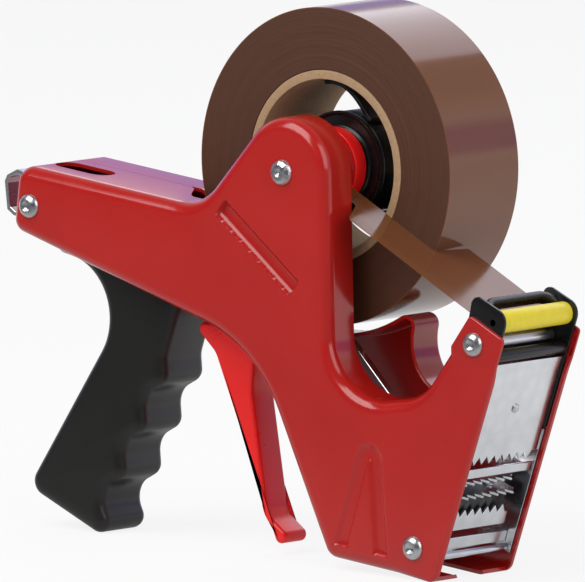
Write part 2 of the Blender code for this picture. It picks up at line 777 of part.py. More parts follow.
def build_hub():
    _, _, flange_near, drum_near, drum_far, cap_far = hub_stations()
    bore = AXLE_ROUND + GAP
    lip = HUB_FLANGE_THICK / 4
    profile = [
        (HUB_FLANGE_ROUND - lip, drum_near - GAP),
        (HUB_FLANGE_ROUND, drum_near - GAP - lip),
        (HUB_FLANGE_ROUND, flange_near + lip),
        (HUB_FLANGE_ROUND - lip, flange_near),
        (bore, flange_near),
        (bore, drum_near - GAP),
    ]
    turned("hub_flange", profile, BLACK_PLASTIC, steps=BIG_SEGMENTS // 2)
    web_near = (drum_near + drum_far - DRUM_WEB) / 2
    inner = DRUM_ROUND - DRUM_WALL
    profile = [
        (DRUM_ROUND, drum_far),
        (DRUM_ROUND, drum_near),
        (inner, drum_near),
        (inner, web_near),
        (HUB_BORE_ROUND, web_near),
        (HUB_BORE_ROUND, drum_near),
        (bore, drum_near),
        (bore, drum_far),
        (HUB_BORE_ROUND, drum_far),
        (HUB_BORE_ROUND, web_near + DRUM_WEB),
        (inner, web_near + DRUM_WEB),
        (inner, drum_far),
    ]
    turned("hub_drum", profile, BLACK_PLASTIC, steps=BIG_SEGMENTS // 2)
    profile = [
        (CAP_ROUND, cap_far - CAP_THICK / 4),
        (CAP_ROUND, cap_far - CAP_THICK),
        (bore, cap_far - CAP_THICK),
        (bore, cap_far),
        (CAP_ROUND - CAP_THICK / 4, cap_far),
    ]
    turned("hub_end_cap", profile[-1:] + profile[:-1], BLACK_PLASTIC, steps=BIG_SEGMENTS // 2)
    build_fins((drum_near + drum_far - FIN_LENGTH) / 2)


def build_fins(near_y):
    # Curved spring leaves that rise from the drum and press on the core's bore
    inside = DRUM_ROUND + GAP
    outside = CORE_BORE_ROUND - GAP
    for number in range(FIN_COUNT):
        start = 2 * math.pi * (number + 0.5) / FIN_COUNT
        back, front = [], []
        for step in range(FIN_STEPS + 1):
            share = step / FIN_STEPS
            rise = share * share * (3 - 2 * share)
            angle = start + FIN_SWEEP * share
            outer = inside + FIN_THICK + (outside - inside - FIN_THICK) * rise
            inner = inside + (outside - inside - FIN_THICK) * rise
            outer = min(outer, outside)
            back.append((outer * math.cos(angle), outer * math.sin(angle)))
            front.append((inner * math.cos(angle), inner * math.sin(angle)))
        points = front + back[::-1]
        flat_slab(f"hub_fin_{number + 1}", points, near_y, FIN_LENGTH, BLACK_PLASTIC)


def build_tape():
    far_y = ROLL_NEAR_Y + TAPE_WIDTH
    core_round = CORE_BORE_ROUND + CORE_WALL
    tube("tape_core", core_round, CORE_BORE_ROUND, ROLL_NEAR_Y, far_y, CARD, steps=BIG_SEGMENTS)
    tube("wound_tape", ROLL_ROUND, core_round + GAP, ROLL_NEAR_Y, far_y, TAPE, steps=BIG_SEGMENTS)
    build_strip()


def build_strip():
    # The free strip runs from beside the axle sleeve to the rear of the guide roller.
    # In front of the roll's near face only its near part shows, so it is narrow there.
    roller = from_front_plane(-ROLLER_BACK, ROLLER_UP)
    reach = ROLLER_ROUND + GAP
    end = roller - Vector((math.cos(STRIP_MEETS_ROLLER), math.sin(STRIP_MEETS_ROLLER))) * reach
    along = end.normalized()
    start = along * (SLEEVE_ROUND + GAP)
    length = (end - start).length
    turn = (ROLL_ROUND + GAP * 2 - start.length)
    inner_y = ROLL_NEAR_Y - GAP
    near_y = HEAD_MARGIN
    far_y = near_y + TAPE_WIDTH
    hump = HUMP_ROUND + NEAR_FILLET - start.length
    points = [
        (0, FLANGE + GAP), (hump, FLANGE + GAP), (hump + STRIP_TAPER, near_y), (length, near_y),
        (length, far_y), (turn, far_y), (turn, inner_y), (0, inner_y),
    ]
    strip = level_plate("tape_strip", points, STRIP_THICK / 2, STRIP_THICK, TAPE, STANCE)
    strip.location = (start.x, 0, start.y)
    strip.rotation_euler = (0, -math.atan2(along.y, along.x), 0)


def liner_outline():
    foot_x = -LINER_SETBACK - LINER_FOOT_ROUND
    foot_z = -LINER_FOOT + LINER_FOOT_ROUND
    nose = ROLLER_BACK - LINER_SETBACK
    return [
        (foot_x - LINER_FOOT_DEPTH, foot_z, LINER_FOOT_ROUND, 1),
        (foot_x, foot_z, LINER_FOOT_ROUND, 1),
        (-ROLLER_BACK, ROLLER_UP, nose, 1),
        (-GUARD_BACK, GUARD_UP, GUARD_CHEEK, 1),
    ]


def head_near_y():
    return SHEET + GAP


def cheek_inner_y():
    # Inner face of the near cheek, with its running clearance
    return head_near_y() + LINER_THICK + GAP


def build_roller_bracket():
    near_y = head_near_y()
    far_y = BODY_WIDTH - near_y
    bracket = rounded_slab(
        "roller_bracket", liner_outline(), near_y, LINER_THICK, GAP * 2, BLACK_PLASTIC, FRONT
    )
    other = rounded_slab(
        "far_cheek", liner_outline(), far_y - LINER_THICK, LINER_THICK, GAP * 2, BLACK_PLASTIC, FRONT
    )
    bar = rod(
        "guard_bar", GUARD_ROUND, near_y + LINER_THICK / 2, far_y - LINER_THICK / 2, BLACK_PLASTIC,
        (-GUARD_BACK, GUARD_UP), FRONT
    )
    for extra in (other, bar):
        PARTS.objects.unlink(extra)
        CUTTERS.objects.link(extra)
        fuse(bracket, extra)
    rivet_back, rivet_up = in_front_plane((UPPER_RIVET_X, UPPER_RIVET_Z))
    cut(bracket, cylinder_cutter(
        "bracket_hole", RIVET_SHANK + GAP, 0, BODY_WIDTH, (rivet_back, rivet_up), FRONT))
    cut(bracket, cylinder_cutter(
        "roller_pin_hole", ROLLER_PIN_ROUND + GAP, 0, BODY_WIDTH, (-ROLLER_BACK, ROLLER_UP), FRONT))
    inner_near = cheek_inner_y()
    inner_far = BODY_WIDTH - inner_near
    edge = ROLLER_ROUND / 6
    profile = [
        (ROLLER_ROUND - edge, inner_far),
        (ROLLER_ROUND, inner_far - edge),
        (ROLLER_ROUND, inner_near + edge),
        (ROLLER_ROUND - edge, inner_near),
        (ROLLER_PIN_ROUND + GAP, inner_near),
        (ROLLER_PIN_ROUND + GAP, inner_far),
    ]
    turned("application_roller", profile, YELLOW_RUBBER, (-ROLLER_BACK, ROLLER_UP), FRONT)
    rod("roller_pin", ROLLER_PIN_ROUND, near_y, far_y, ZINC, (-ROLLER_BACK, ROLLER_UP), FRONT)
    rod("guide_bar", GUIDE_ROUND, inner_near, inner_far, BLACK_PLASTIC, (-GUIDE_BACK, -GUIDE_DOWN), FRONT)
    spacer_near = inner_near
    tube("upper_spacer", SPACER_ROUND, RIVET_SHANK + GAP, spacer_near, inner_far, ZINC,
         (rivet_back, rivet_up), FRONT)


def teeth(start, direction, height):
    # Saw teeth along Y: the tip points with their place across
    points = []
    for number in range(TOOTH_COUNT):
        base = start + number * TOOTH_PITCH
        points.append((base, 0))
        points.append((base + TOOTH_PITCH / 2, height * direction))
    points.append((start + TOOTH_COUNT * TOOTH_PITCH, 0))
    return points


def tooth_start():
    return (BODY_WIDTH - TOOTH_COUNT * TOOTH_PITCH) / 2


def build_front_frame():
    # Front plate with a toothed lower edge and two side flanges that run to the foot
    near_y = head_near_y()
    far_y = BODY_WIDTH - near_y
    clear = cheek_inner_y()
    row = teeth(tooth_start(), -1, TOOTH_HEIGHT)
    outline = [(clear, -PLATE_TOP), (BODY_WIDTH - clear, -PLATE_TOP)]
    step_z = -LINER_FOOT - GAP
    overlap = PLATE_THICK / 2
    outline += [(BODY_WIDTH - clear, step_z), (far_y - overlap, step_z)]
    tooth_z = -PLATE_TEETH + TOOTH_HEIGHT
    outline += [(far_y - overlap, tooth_z)]
    outline += [(y, tooth_z + z) for y, z in reversed(row)]
    outline += [(near_y + overlap, tooth_z), (near_y + overlap, step_z), (clear, step_z)]
    plate = upright_plate("front_frame", outline, -PLATE_BACK, PLATE_THICK, ZINC)
    for label, low_y in (("near_flange", near_y), ("far_flange", far_y - PLATE_THICK)):
        low = (-PLATE_BACK - FRAME_DEPTH, low_y, -FRAME_FOOT)
        high = (-SHEET - GAP * 2, low_y + PLATE_THICK, step_z)
        fuse(plate, block(label, low, high, None, FRONT, CUTTERS))
    lower_back, lower_up = in_front_plane((LOWER_RIVET_X, LOWER_RIVET_Z))
    cut(plate, cylinder_cutter(
        "frame_foot_hole", SPACER_ROUND + GAP, 0, BODY_WIDTH, (lower_back, lower_up), FRONT))
    button = forward_turned("plate_rivet", BUTTON_ROUND, BUTTON_RISE, BODY_WIDTH / 2, -BUTTON_DOWN)
    button.location.x = -PLATE_BACK + GAP


def forward_turned(name, radius, rise, y, z):
    # A low domed button whose axis points forward
    profile = [
        (0, rise), (radius * 0.6, rise * 0.85), (radius, rise * 0.3), (radius, 0), (0, 0),
    ]
    piece = turned(name, profile, ZINC, (0, 0), FRONT)
    piece.rotation_euler = (0, math.radians(90), 0)
    piece.location = (0, y, z)
    return piece


def build_cutting_head():
    near_y = head_near_y() + PLATE_THICK + GAP
    far_y = BODY_WIDTH - near_y
    plate_front = -PLATE_BACK
    cover = block(
        "blade_cover", (plate_front - PLATE_THICK, near_y, -COVER_EDGE),
        (plate_front, far_y, -COVER_TOP), ZINC, FRONT
    )
    shelf = block(
        "cover_shelf", (plate_front - COVER_DEPTH, near_y, -COVER_EDGE),
        (plate_front - PLATE_THICK / 2, far_y, -COVER_EDGE + PLATE_THICK), None, FRONT, CUTTERS
    )
    fuse(cover, shelf)
    lower = block(
        "lower_plate", (-LOWER_BACK - PLATE_THICK, near_y, -LOWER_FOOT),
        (-LOWER_BACK, far_y, -LOWER_TOP), ZINC, FRONT
    )
    fuse(lower, block(
        "lower_shelf", (-LOWER_BACK - COVER_DEPTH, near_y, -LOWER_TOP - PLATE_THICK),
        (-LOWER_BACK - PLATE_THICK / 2, far_y, -LOWER_TOP), None, FRONT, CUTTERS
    ))
    rod("bottom_rod", ROD_ROUND, near_y, far_y, ZINC, (-ROD_BACK, -ROD_DOWN), FRONT)
    build_blade_holder(near_y + HOLDER_MARGIN / 2, far_y - HOLDER_MARGIN)


def toothed_shelf(name, near_y, far_y, front_x, depth, top_z, thick, finish, group=PARTS):
    # A level plate whose front edge is a row of teeth that fills its width
    count = int((far_y - near_y) / TOOTH_PITCH)
    margin = ((far_y - near_y) - count * TOOTH_PITCH) / 2
    points = [(front_x - depth, near_y), (front_x - TOOTH_HEIGHT, near_y)]
    for number in range(count):
        base = near_y + margin + number * TOOTH_PITCH
        points.append((front_x - TOOTH_HEIGHT, base + TOOTH_PITCH / 20))
        points.append((front_x, base + TOOTH_PITCH / 2))
    points.append((front_x - TOOTH_HEIGHT, base + TOOTH_PITCH))
    points += [(front_x - TOOTH_HEIGHT, far_y), (front_x - depth, far_y)]
    return level_plate(name, points, top_z, thick, finish, FRONT, group)


def build_blade_holder(near_y, far_y):
    # The sliding channel: a toothed top shelf, a back web and a bottom shelf
    front_x = -HOLDER_BACK
    back_x = front_x - HOLDER_DEPTH
    holder = toothed_shelf(
        "blade_holder", near_y, far_y, front_x, HOLDER_DEPTH, -HOLDER_TOP, PLATE_THICK, ZINC)
    fuse(holder, block(
        "holder_web", (back_x, near_y, -HOLDER_FOOT), (back_x + PLATE_THICK, far_y, -HOLDER_TOP),
        None, FRONT, CUTTERS))
    fuse(holder, block(
        "holder_floor", (back_x + PLATE_THICK / 2, near_y, -HOLDER_FOOT),
        (front_x - PLATE_THICK * 2, far_y, -HOLDER_FOOT + PLATE_THICK), None, FRONT, CUTTERS))
    blade_depth = HOLDER_DEPTH - BLADE_BACK - PLATE_THICK - GAP
    toothed_shelf(
        "cutting_blade", near_y, far_y, -BLADE_BACK, blade_depth, -BLADE_DOWN, BLADE_THICK, BLADE_STEEL)
    count = int((far_y - near_y) / TOOTH_PITCH)
    margin = ((far_y - near_y) - count * TOOTH_PITCH) / 2
    outline = [(near_y, -CLAMP_FOOT), (far_y, -CLAMP_FOOT), (far_y, -CLAMP_TOP - TOOTH_HEIGHT)]
    for number in range(count):
        base = far_y - margin - number * TOOTH_PITCH
        outline.append((base, -CLAMP_TOP - TOOTH_HEIGHT))
        outline.append((base - TOOTH_PITCH / 2, -CLAMP_TOP))
    outline += [(near_y + margin, -CLAMP_TOP - TOOTH_HEIGHT), (near_y, -CLAMP_TOP - TOOTH_HEIGHT)]
    clamp_front = -HOLDER_BACK - PLATE_THICK + GAP
    clamp = upright_plate("blade_clamp", outline, clamp_front, PLATE_THICK, ZINC)
    foot = block(
        "clamp_foot", (back_x + PLATE_THICK, near_y, -HOLDER_FOOT - GAP - PLATE_THICK),
        (clamp_front - PLATE_THICK / 2, far_y, -HOLDER_FOOT - GAP), None, FRONT, CUTTERS)
    fuse(clamp, foot)
    middle_x = (back_x + front_x) / 2
    build_blade_rest(near_y, far_y, middle_x)
    build_link(back_x)


def build_blade_rest(near_y, far_y, middle_x):
    # A block that carries the blade, and two screws that hold blade, block and channel
    low_z = -HOLDER_FOOT + PLATE_THICK + GAP
    high_z = -BLADE_DOWN - BLADE_THICK - GAP
    half = SCREW_HEAD * 1.4
    rest = block(
        "blade_rest", (middle_x - half, near_y, low_z), (middle_x + half, far_y, high_z),
        BLACK_PLASTIC, FRONT)
    spread = (far_y - near_y) / 4
    blade = bpy.data.objects["cutting_blade"]
    for number, y in enumerate((near_y + spread, far_y - spread)):
        top = -BLADE_DOWN + GAP
        foot = top - (high_z - low_z) * 0.6
        profile = [
            (0, top + SCREW_RISE), (SCREW_HEAD * 0.7, top + SCREW_RISE), (SCREW_HEAD, top + SCREW_RISE / 2),
            (SCREW_HEAD, top), (SCREW_ROUND, top), (SCREW_ROUND, foot), (0, foot),
        ]
        screw = turned(f"blade_screw_{number + 1}", profile, ZINC, (0, 0), FRONT)
        screw.rotation_euler = (0, 0, 0)
        screw.location = (middle_x, y, 0)
        bm = bmesh.new()
        radius = SCREW_ROUND + GAP
        bmesh.ops.create_cone(bm, cap_ends=True, segments=SMALL_SEGMENTS, radius1=radius, radius2=radius,
                              depth=(top - foot) * 2)
        hole = mesh_object(f"blade_screw_hole_{number + 1}", bm, None, FRONT, CUTTERS)
        hole.location = (middle_x, y, (top + foot) / 2)
        drill = hole.copy()
        drill.name = f"rest_screw_hole_{number + 1}"
        drill.location.z = top
        CUTTERS.objects.link(drill)
        cut(blade, hole)
        cut(rest, drill)


def build_link(back_x):
    # A flat bar from the trigger's lever to the back of the blade holder
    tail = Vector((LEVER_TIP_X + LEVER_TIP_ROUND + TRAVEL_GAP, LINK_END_Z))
    head = from_front_plane(back_x - GAP, -(HOLDER_TOP + HOLDER_FOOT) / 2)
    half = LINK_WIDTH / 2
    points = [
        (tail.x, tail.y + half), (tail.x, tail.y - half), (tail.x + half, tail.y - half),
    ]
    foot = from_front_plane(back_x - GAP, -(HOLDER_TOP + HOLDER_FOOT) / 2 - half)
    top = from_front_plane(back_x - GAP, -(HOLDER_TOP + HOLDER_FOOT) / 2 + half)
    inner = from_front_plane(back_x - GAP - half, -(HOLDER_TOP + HOLDER_FOOT) / 2 - half)
    points += [(inner.x, inner.y), (foot.x, foot.y), (top.x, top.y)]
    along = (head - tail).normalized()
    shoulder = top - FORWARD * half
    points += [(shoulder.x, shoulder.y), (tail.x + half + along.x * half, tail.y + half)]
    middle = TRIGGER_NEAR_Y + LEVER_THICK / 2
    flat_slab("push_link", points, middle - LINK_THICK / 2, LINK_THICK, ZINC)


def grip_outline():
    # From the toe up the front, over four knuckles with hollows between them, then
    # over the top and down the rear round the web of the thumb to the heel
    down = Vector((-math.sin(GRIP_SLOPE), -math.cos(GRIP_SLOPE)))
    out = Vector((-down.y, down.x))
    top_knuckle = Vector((KNUCKLE_TOP_X, KNUCKLE_TOP_Z))
    circles = [(GRIP_TOE_X, GRIP_FOOT_Z + GRIP_TOE_ROUND, GRIP_TOE_ROUND, 1)]
    for number in reversed(range(FINGER_COUNT)):
        hollow = top_knuckle + down * KNUCKLE_PITCH * (number - 0.5) + out * (HOLLOW_ROUND - HOLLOW_DEPTH)
        knuckle = top_knuckle + down * KNUCKLE_PITCH * number - out * KNUCKLE_ROUND
        if number < FINGER_COUNT - 1:
            circles.append((knuckle.x, knuckle.y, KNUCKLE_ROUND, 1))
        circles.append((hollow.x, hollow.y, HOLLOW_ROUND, -1))
    circles.append((GRIP_NECK_X - KNUCKLE_ROUND, GRIP_NECK_Z, KNUCKLE_ROUND, 1))
    circles.append((WEB_X - KNUCKLE_ROUND / 3, GRIP_HORN_Z, KNUCKLE_ROUND, 1))
    circles.append((WEB_X, WEB_Z, WEB_ROUND, -1))
    circles.append((GRIP_HEEL_ROUND - GRIP_REACH, GRIP_HEEL_Z, GRIP_HEEL_ROUND, 1))
    return circles


def build_grip():
    grip = rounded_slab(
        "handle_grip", grip_outline(), GRIP_NEAR_Y, GRIP_THICK, GRIP_FILLET, BLACK_PLASTIC)
    cut(grip, arm_trim())
    for number, x in enumerate(grip_screw_places()):
        cut(grip, upright_bore(f"grip_bore_{number + 1}", x))
    build_grip_clamp()


def arm_slope():
    left, right = CLAMP_PLATE_X - CLAMP_PLATE_LENGTH / 2, CLAMP_PLATE_X + CLAMP_PLATE_LENGTH / 2
    return math.atan2(arm_floor(right) - arm_floor(left), right - left)


def arm_trim():
    # Cuts the grip's top along the arm's underside
    left, right = -TAIL_REACH, BELLY_X
    span = (left, right)
    slope = math.tan(arm_slope())
    base = arm_floor(CLAMP_PLATE_X)
    low = [(x, base + (x - CLAMP_PLATE_X) * slope - GAP) for x in span]
    high = [(x, z + TAIL_REACH / 2) for x, z in reversed(low)]
    return flat_slab("arm_trim", low + high, 0, BODY_WIDTH, None, STANCE, CUTTERS)


def upright_bore(name, x):
    bm = bmesh.new()
    radius = GRIP_SCREW_ROUND + GAP
    bmesh.ops.create_cone(bm, cap_ends=True, segments=SMALL_SEGMENTS, radius1=radius, radius2=radius,
                          depth=(GRIP_SCREW_DEPTH + GAP) * 2)
    tool = mesh_object(name, bm, None, STANCE, CUTTERS)
    tool.location = (x, grip_mid_y(), arm_floor(x))
    return tool


def build_grip_clamp():
    # A plate inside the arm and two screws that pull the grip up against the arm
    slope = arm_slope()
    base = arm_floor(CLAMP_PLATE_X) + SHEET / math.cos(slope) + GAP
    half = CLAMP_PLATE_LENGTH / 2
    points = []
    for x, lift in ((-half, 0), (half, 0), (half, CLAMP_PLATE_THICK), (-half, CLAMP_PLATE_THICK)):
        points.append((CLAMP_PLATE_X + x, base + x * math.tan(slope) + lift))
    near_y = grip_mid_y() - CLAMP_PLATE_WIDTH / 2
    width = min(CLAMP_PLATE_WIDTH, (ARM_FLANGE - GAP - near_y))
    plate = flat_slab("handle_clamp_plate", points, near_y, width, ZINC)
    for number, x in enumerate(grip_screw_places()):
        cut(plate, upright_cutter(f"clamp_hole_{number + 1}", GRIP_SCREW_ROUND + GAP, x))
        top = base + (x - CLAMP_PLATE_X) * math.tan(slope) + CLAMP_PLATE_THICK
        top += GRIP_SCREW_HEAD * abs(math.tan(slope)) + GAP
        foot = arm_floor(x) - GRIP_SCREW_DEPTH
        profile = [
            (0, top + GRIP_SCREW_RISE), (GRIP_SCREW_HEAD * 0.7, top + GRIP_SCREW_RISE),
            (GRIP_SCREW_HEAD, top + GRIP_SCREW_RISE / 3), (GRIP_SCREW_HEAD, top),
            (GRIP_SCREW_ROUND, top), (GRIP_SCREW_ROUND, foot), (0, foot),
        ]
        screw = turned(f"handle_screw_{number + 1}", profile, ZINC)
        screw.rotation_euler = (0, 0, 0)
        screw.location = (x, grip_mid_y(), 0)


def build_trigger():
    # A curved finger lever below the body and a thinner lever plate inside it
    reach, foot = TRIGGER_REACH, TRIGGER_FOOT_Z
    blade_share_rows = (
        (0.018, 0.9820, 0.0560, 1),
        (0.060, 0.8850, 0.2200, -1),
        (0.000, 0.6000, 0.4000, -1),
        (-0.500, 0.4830, 0.0900, 1),
        (-0.930, 0.4870, 0.0560, 1),
        (-0.955, 0.5860, 0.2000, -1),
    )
    circles = [(x * reach, z * foot, radius * reach, turn) for x, z, radius, turn in blade_share_rows]
    trigger = rounded_slab(
        "trigger", circles, TRIGGER_NEAR_Y, TRIGGER_WIDTH, TRIGGER_FILLET, RED_PLASTIC)
    tip = (LEVER_TIP_X, LEVER_TIP_Z, LEVER_TIP_ROUND, 1)
    across, down, radius = LEVER_ROOT_SHARES
    root = (across * reach, down * foot, radius * reach, 1)
    lever_outline = [(PIVOT_X, PIVOT_Z, LEVER_BOSS, 1), tip, root]
    lever_near = TRIGGER_NEAR_Y + LEVER_INSET
    lever = rounded_slab(
        "trigger_lever", lever_outline, lever_near, LEVER_THICK - LEVER_INSET, GAP * 2, RED_PLASTIC)
    PARTS.objects.unlink(lever)
    CUTTERS.objects.link(lever)
    fuse(trigger, lever)
    hole = cylinder_cutter("trigger_bore", PIVOT_ROUND + GAP, 0, BODY_WIDTH, (PIVOT_X, PIVOT_Z))
    cut(trigger, hole)
    keep_moving_origin(trigger, PIVOT_X, PIVOT_Z)
    pin_far = TRIGGER_NEAR_Y + LEVER_THICK + GAP
    head = PIVOT_ROUND * 1.8
    profile = [
        (0, pin_far + SCREW_RISE), (head, pin_far + SCREW_RISE), (head, pin_far),
        (PIVOT_ROUND, pin_far), (PIVOT_ROUND, SHEET + GAP), (0, SHEET + GAP),
    ]
    turned("trigger_pin", profile, ZINC, (PIVOT_X, PIVOT_Z))
    build_trigger_spring()


def build_trigger_spring():
    # A coil round the pin, between the near shell and the lever, with one straight leg
    start_y = SHEET + GAP + SPRING_WIRE * 2
    points = []
    count = SPRING_TURNS * 10
    for step in range(count + 1):
        angle = 2 * math.pi * step / 10
        y = start_y + SPRING_PITCH * step / 10
        points.append((PIVOT_X + SPRING_ROUND * math.cos(angle), y, PIVOT_Z + SPRING_ROUND * math.sin(angle)))
    last = points[-1]
    points.append((last[0], last[1], last[2] + SPRING_ROUND))
    curve = bpy.data.curves.new("trigger_spring", "CURVE")
    curve.dimensions = "3D"
    curve.bevel_depth = SPRING_WIRE
    curve.bevel_resolution = 1
    curve.use_fill_caps = True
    line = curve.splines.new("POLY")
    line.points.add(len(points) - 1)
    for knot, point in zip(line.points, points):
        knot.co = (*point, 1)
    spring = bpy.data.objects.new("trigger_spring", curve)
    spring.parent = STANCE
    curve.materials.append(ZINC)
    PARTS.objects.link(spring)


def build_hanging_strap():
    # A steel loop whose two ends pass through slits in the tail wall
    tail_x = -TAIL_REACH
    inner_x = tail_x + SHEET + GAP * 4
    half = STRAP_THICK / 2
    outer = [
        (inner_x, STRAP_TOP_Z + half),
        (tail_x - STRAP_REACH * 0.45, STRAP_TOP_Z + half),
        (tail_x - STRAP_REACH * 0.9, STRAP_TOP_Z - STRAP_REACH * 0.2),
        (tail_x - STRAP_REACH, STRAP_TOP_Z - STRAP_REACH * 0.45),
        (tail_x - STRAP_REACH * 0.75, STRAP_FOOT_Z + half),
        (tail_x - STRAP_REACH * 0.4, STRAP_FOOT_Z - half),
        (inner_x, STRAP_FOOT_Z - half),
    ]
    inner = [
        (inner_x, STRAP_FOOT_Z + half),
        (tail_x - STRAP_REACH * 0.35, STRAP_FOOT_Z + half),
        (tail_x - STRAP_REACH * 0.6, STRAP_FOOT_Z + half * 2.5),
        (tail_x - STRAP_REACH + STRAP_THICK, STRAP_TOP_Z - STRAP_REACH * 0.5),
        (tail_x - STRAP_REACH * 0.75, STRAP_TOP_Z - STRAP_REACH * 0.25),
        (tail_x - STRAP_REACH * 0.4, STRAP_TOP_Z - half),
        (inner_x, STRAP_TOP_Z - half),
    ]
    flat_slab("tail_strap", outer + inner, STRAP_NEAR_Y, STRAP_WIDTH, ZINC)


def stand_up():
    # Tips the body on to the grip's toe and the shells' front foot, then puts the
    # middle of its footprint at the world's origin
    toe_x, toe_z, toe_round, _ = grip_outline()[0]
    foot_x, foot_z = FRONT_FOOT_X - FOOT_ROUND, BOTTOM_Z + FOOT_ROUND
    step = Vector((foot_x - toe_x, foot_z - toe_z))
    side = FOOT_ROUND - toe_round
    STANCE.rotation_euler = (0, math.atan2(step.y, step.x) - math.asin(side / step.length), 0)
    bpy.context.view_layer.update()
    graph = bpy.context.evaluated_depsgraph_get()
    low, high = Vector((math.inf,) * 3), Vector((-math.inf,) * 3)
    for piece in PARTS.objects:
        if piece.type == "EMPTY":
            continue
        shape = piece.evaluated_get(graph)
        mesh = shape.to_mesh()
        for vertex in mesh.vertices:
            place = shape.matrix_world @ vertex.co
            low = Vector(map(min, low, place))
            high = Vector(map(max, high, place))
        shape.to_mesh_clear()
    STANCE.location = (-(low.x + high.x) / 2, -(low.y + high.y) / 2, -low.z)
    bpy.context.view_layer.update()


build_shells()
build_rivets()
build_axle_and_knob()
build_hub()
build_tape()
build_roller_bracket()
build_front_frame()
build_cutting_head()
build_grip()
build_trigger()
build_hanging_strap()
stand_up()
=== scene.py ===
# Looks of a hand-held packing tape dispenser: glossy red pressed side shells, a brown
# tape roll on a black hub, a moulded grip and trigger, and a bright steel cutting head.
import json
import math
import random

import bmesh
import bpy
from mathutils import Matrix, Vector


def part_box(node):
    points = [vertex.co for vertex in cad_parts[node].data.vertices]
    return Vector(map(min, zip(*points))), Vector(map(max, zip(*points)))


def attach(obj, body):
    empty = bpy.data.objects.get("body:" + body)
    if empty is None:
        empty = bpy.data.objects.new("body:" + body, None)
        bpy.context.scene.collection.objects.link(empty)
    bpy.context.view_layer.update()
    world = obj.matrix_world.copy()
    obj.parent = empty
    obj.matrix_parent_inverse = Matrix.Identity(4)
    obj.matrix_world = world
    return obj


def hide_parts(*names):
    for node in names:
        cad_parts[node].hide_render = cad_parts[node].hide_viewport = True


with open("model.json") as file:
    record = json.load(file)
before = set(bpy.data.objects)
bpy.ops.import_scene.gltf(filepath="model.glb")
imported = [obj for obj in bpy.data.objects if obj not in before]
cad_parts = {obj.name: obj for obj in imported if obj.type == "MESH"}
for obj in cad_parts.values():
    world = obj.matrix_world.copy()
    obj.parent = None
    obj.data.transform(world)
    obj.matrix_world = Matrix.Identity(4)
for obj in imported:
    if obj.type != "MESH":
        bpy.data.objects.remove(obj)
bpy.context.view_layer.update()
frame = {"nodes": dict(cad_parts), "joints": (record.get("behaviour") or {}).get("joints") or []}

# Sheet, gaps and widths
TAPE_WIDTH = 0.0475
HEAD_MARGIN = 0.00375
BODY_WIDTH = TAPE_WIDTH + HEAD_MARGIN * 2
SHEET = 0.0016
GAP = 0.0003
OVERRUN = 0.004
MERGE = 0.000005

# Side shells: outline, in the plane of the near face with the hub axle at zero
TAIL_REACH = 0.1485
ARM_TOP = -0.0240
ARM_BOTTOM_AT_TAIL = -0.0540
TAIL_ROUND = 0.0080
TAIL_FOOT_ROUND = 0.0065
FLANK_X = -0.0586
FLANK_ROUND = 0.0250
HUMP_ROUND = 0.0238
NOTCH_REAR_X = 0.0600
NOTCH_FRONT_X = 0.0700
NOTCH_Z = -0.0625
NOTCH_REAR_ROUND = 0.0270
NOTCH_FRONT_ROUND = 0.0245
TOWER_REAR_X = 0.1085
TOWER_REAR_Z = -0.0430
TOWER_FRONT_X = 0.1290
TOWER_FRONT_Z = -0.0490
TOWER_ROUND = 0.0022
FRONT_FOOT_X = 0.1046
FRONT_FOOT_Z = -0.1580
BOTTOM_Z = -0.1625
FOOT_ROUND = 0.0050
HEEL_X = 0.0465
HEEL_ROUND = 0.0070
BELLY_X = -0.0505
BELLY_Z = -0.1407
BELLY_ROUND = 0.0680
FAR_ARC_ROUND = 0.0735
FAR_ARC_CORNER = 0.0050
FAR_NOTCH_X = 0.0740
FAR_NOTCH_Z = -0.0660
FAR_NOTCH_ROUND = 0.0220

# Side shells: section
NEAR_FILLET = 0.0060
FAR_FILLET = 0.0025
RIM_FILLET = 0.0018
RIM_DEPTH = 0.0030
FLANGE = 0.0184
ARM_FLANGE = 0.0363
ARM_SEAM_X = -0.0760
ARM_OPEN_X = -0.0640
FILLET_FADE = 0.0200
FILLET_SHARE = 0.6
RIM_FADE_TOP = 0.0150
RIM_FADE_FOOT = 0.0320
RIM_FADE_TIP = 0.0200
FRAME_DEPTH = 0.0185

# Pressed shapes and openings
GROOVE_REAR = Vector((-0.0320, -0.0215))
GROOVE_FRONT = Vector((0.0120, -0.0490))
GROOVE_WIDTH = 0.0086
GROOVE_DEPTH = 0.0026
GROOVE_END_SHARE = 0.35
GROOVE_POWER = 2.2
RIB_FOOT_X = 0.0620
RIB_WIDTH = 0.0265
RIB_HEIGHT = 0.0470
RIB_BAND = 0.0062
RIB_DEPTH = 0.0015
RIB_SLOPE = 0.0022
SLOT_CENTRE_X = -0.1270
SLOT_CENTRE_Y = 0.0225
SLOT_LENGTH = 0.0300
SLOT_WIDTH = 0.0140
STRAP_WIDTH = 0.0200
STRAP_THICK = 0.0020
STRAP_NEAR_Y = 0.0080
STRAP_TOP_Z = -0.0290
STRAP_FOOT_Z = -0.0475

# Rivets
RIVET_HEAD = 0.0053
RIVET_RISE = 0.0026
RIVET_SHANK = 0.0025
TAIL_RIVET = Vector((-0.1384, -0.0408))
UPPER_RIVET = Vector((0.1133, -0.0548))
LOWER_RIVET = Vector((0.0907, -0.1491))

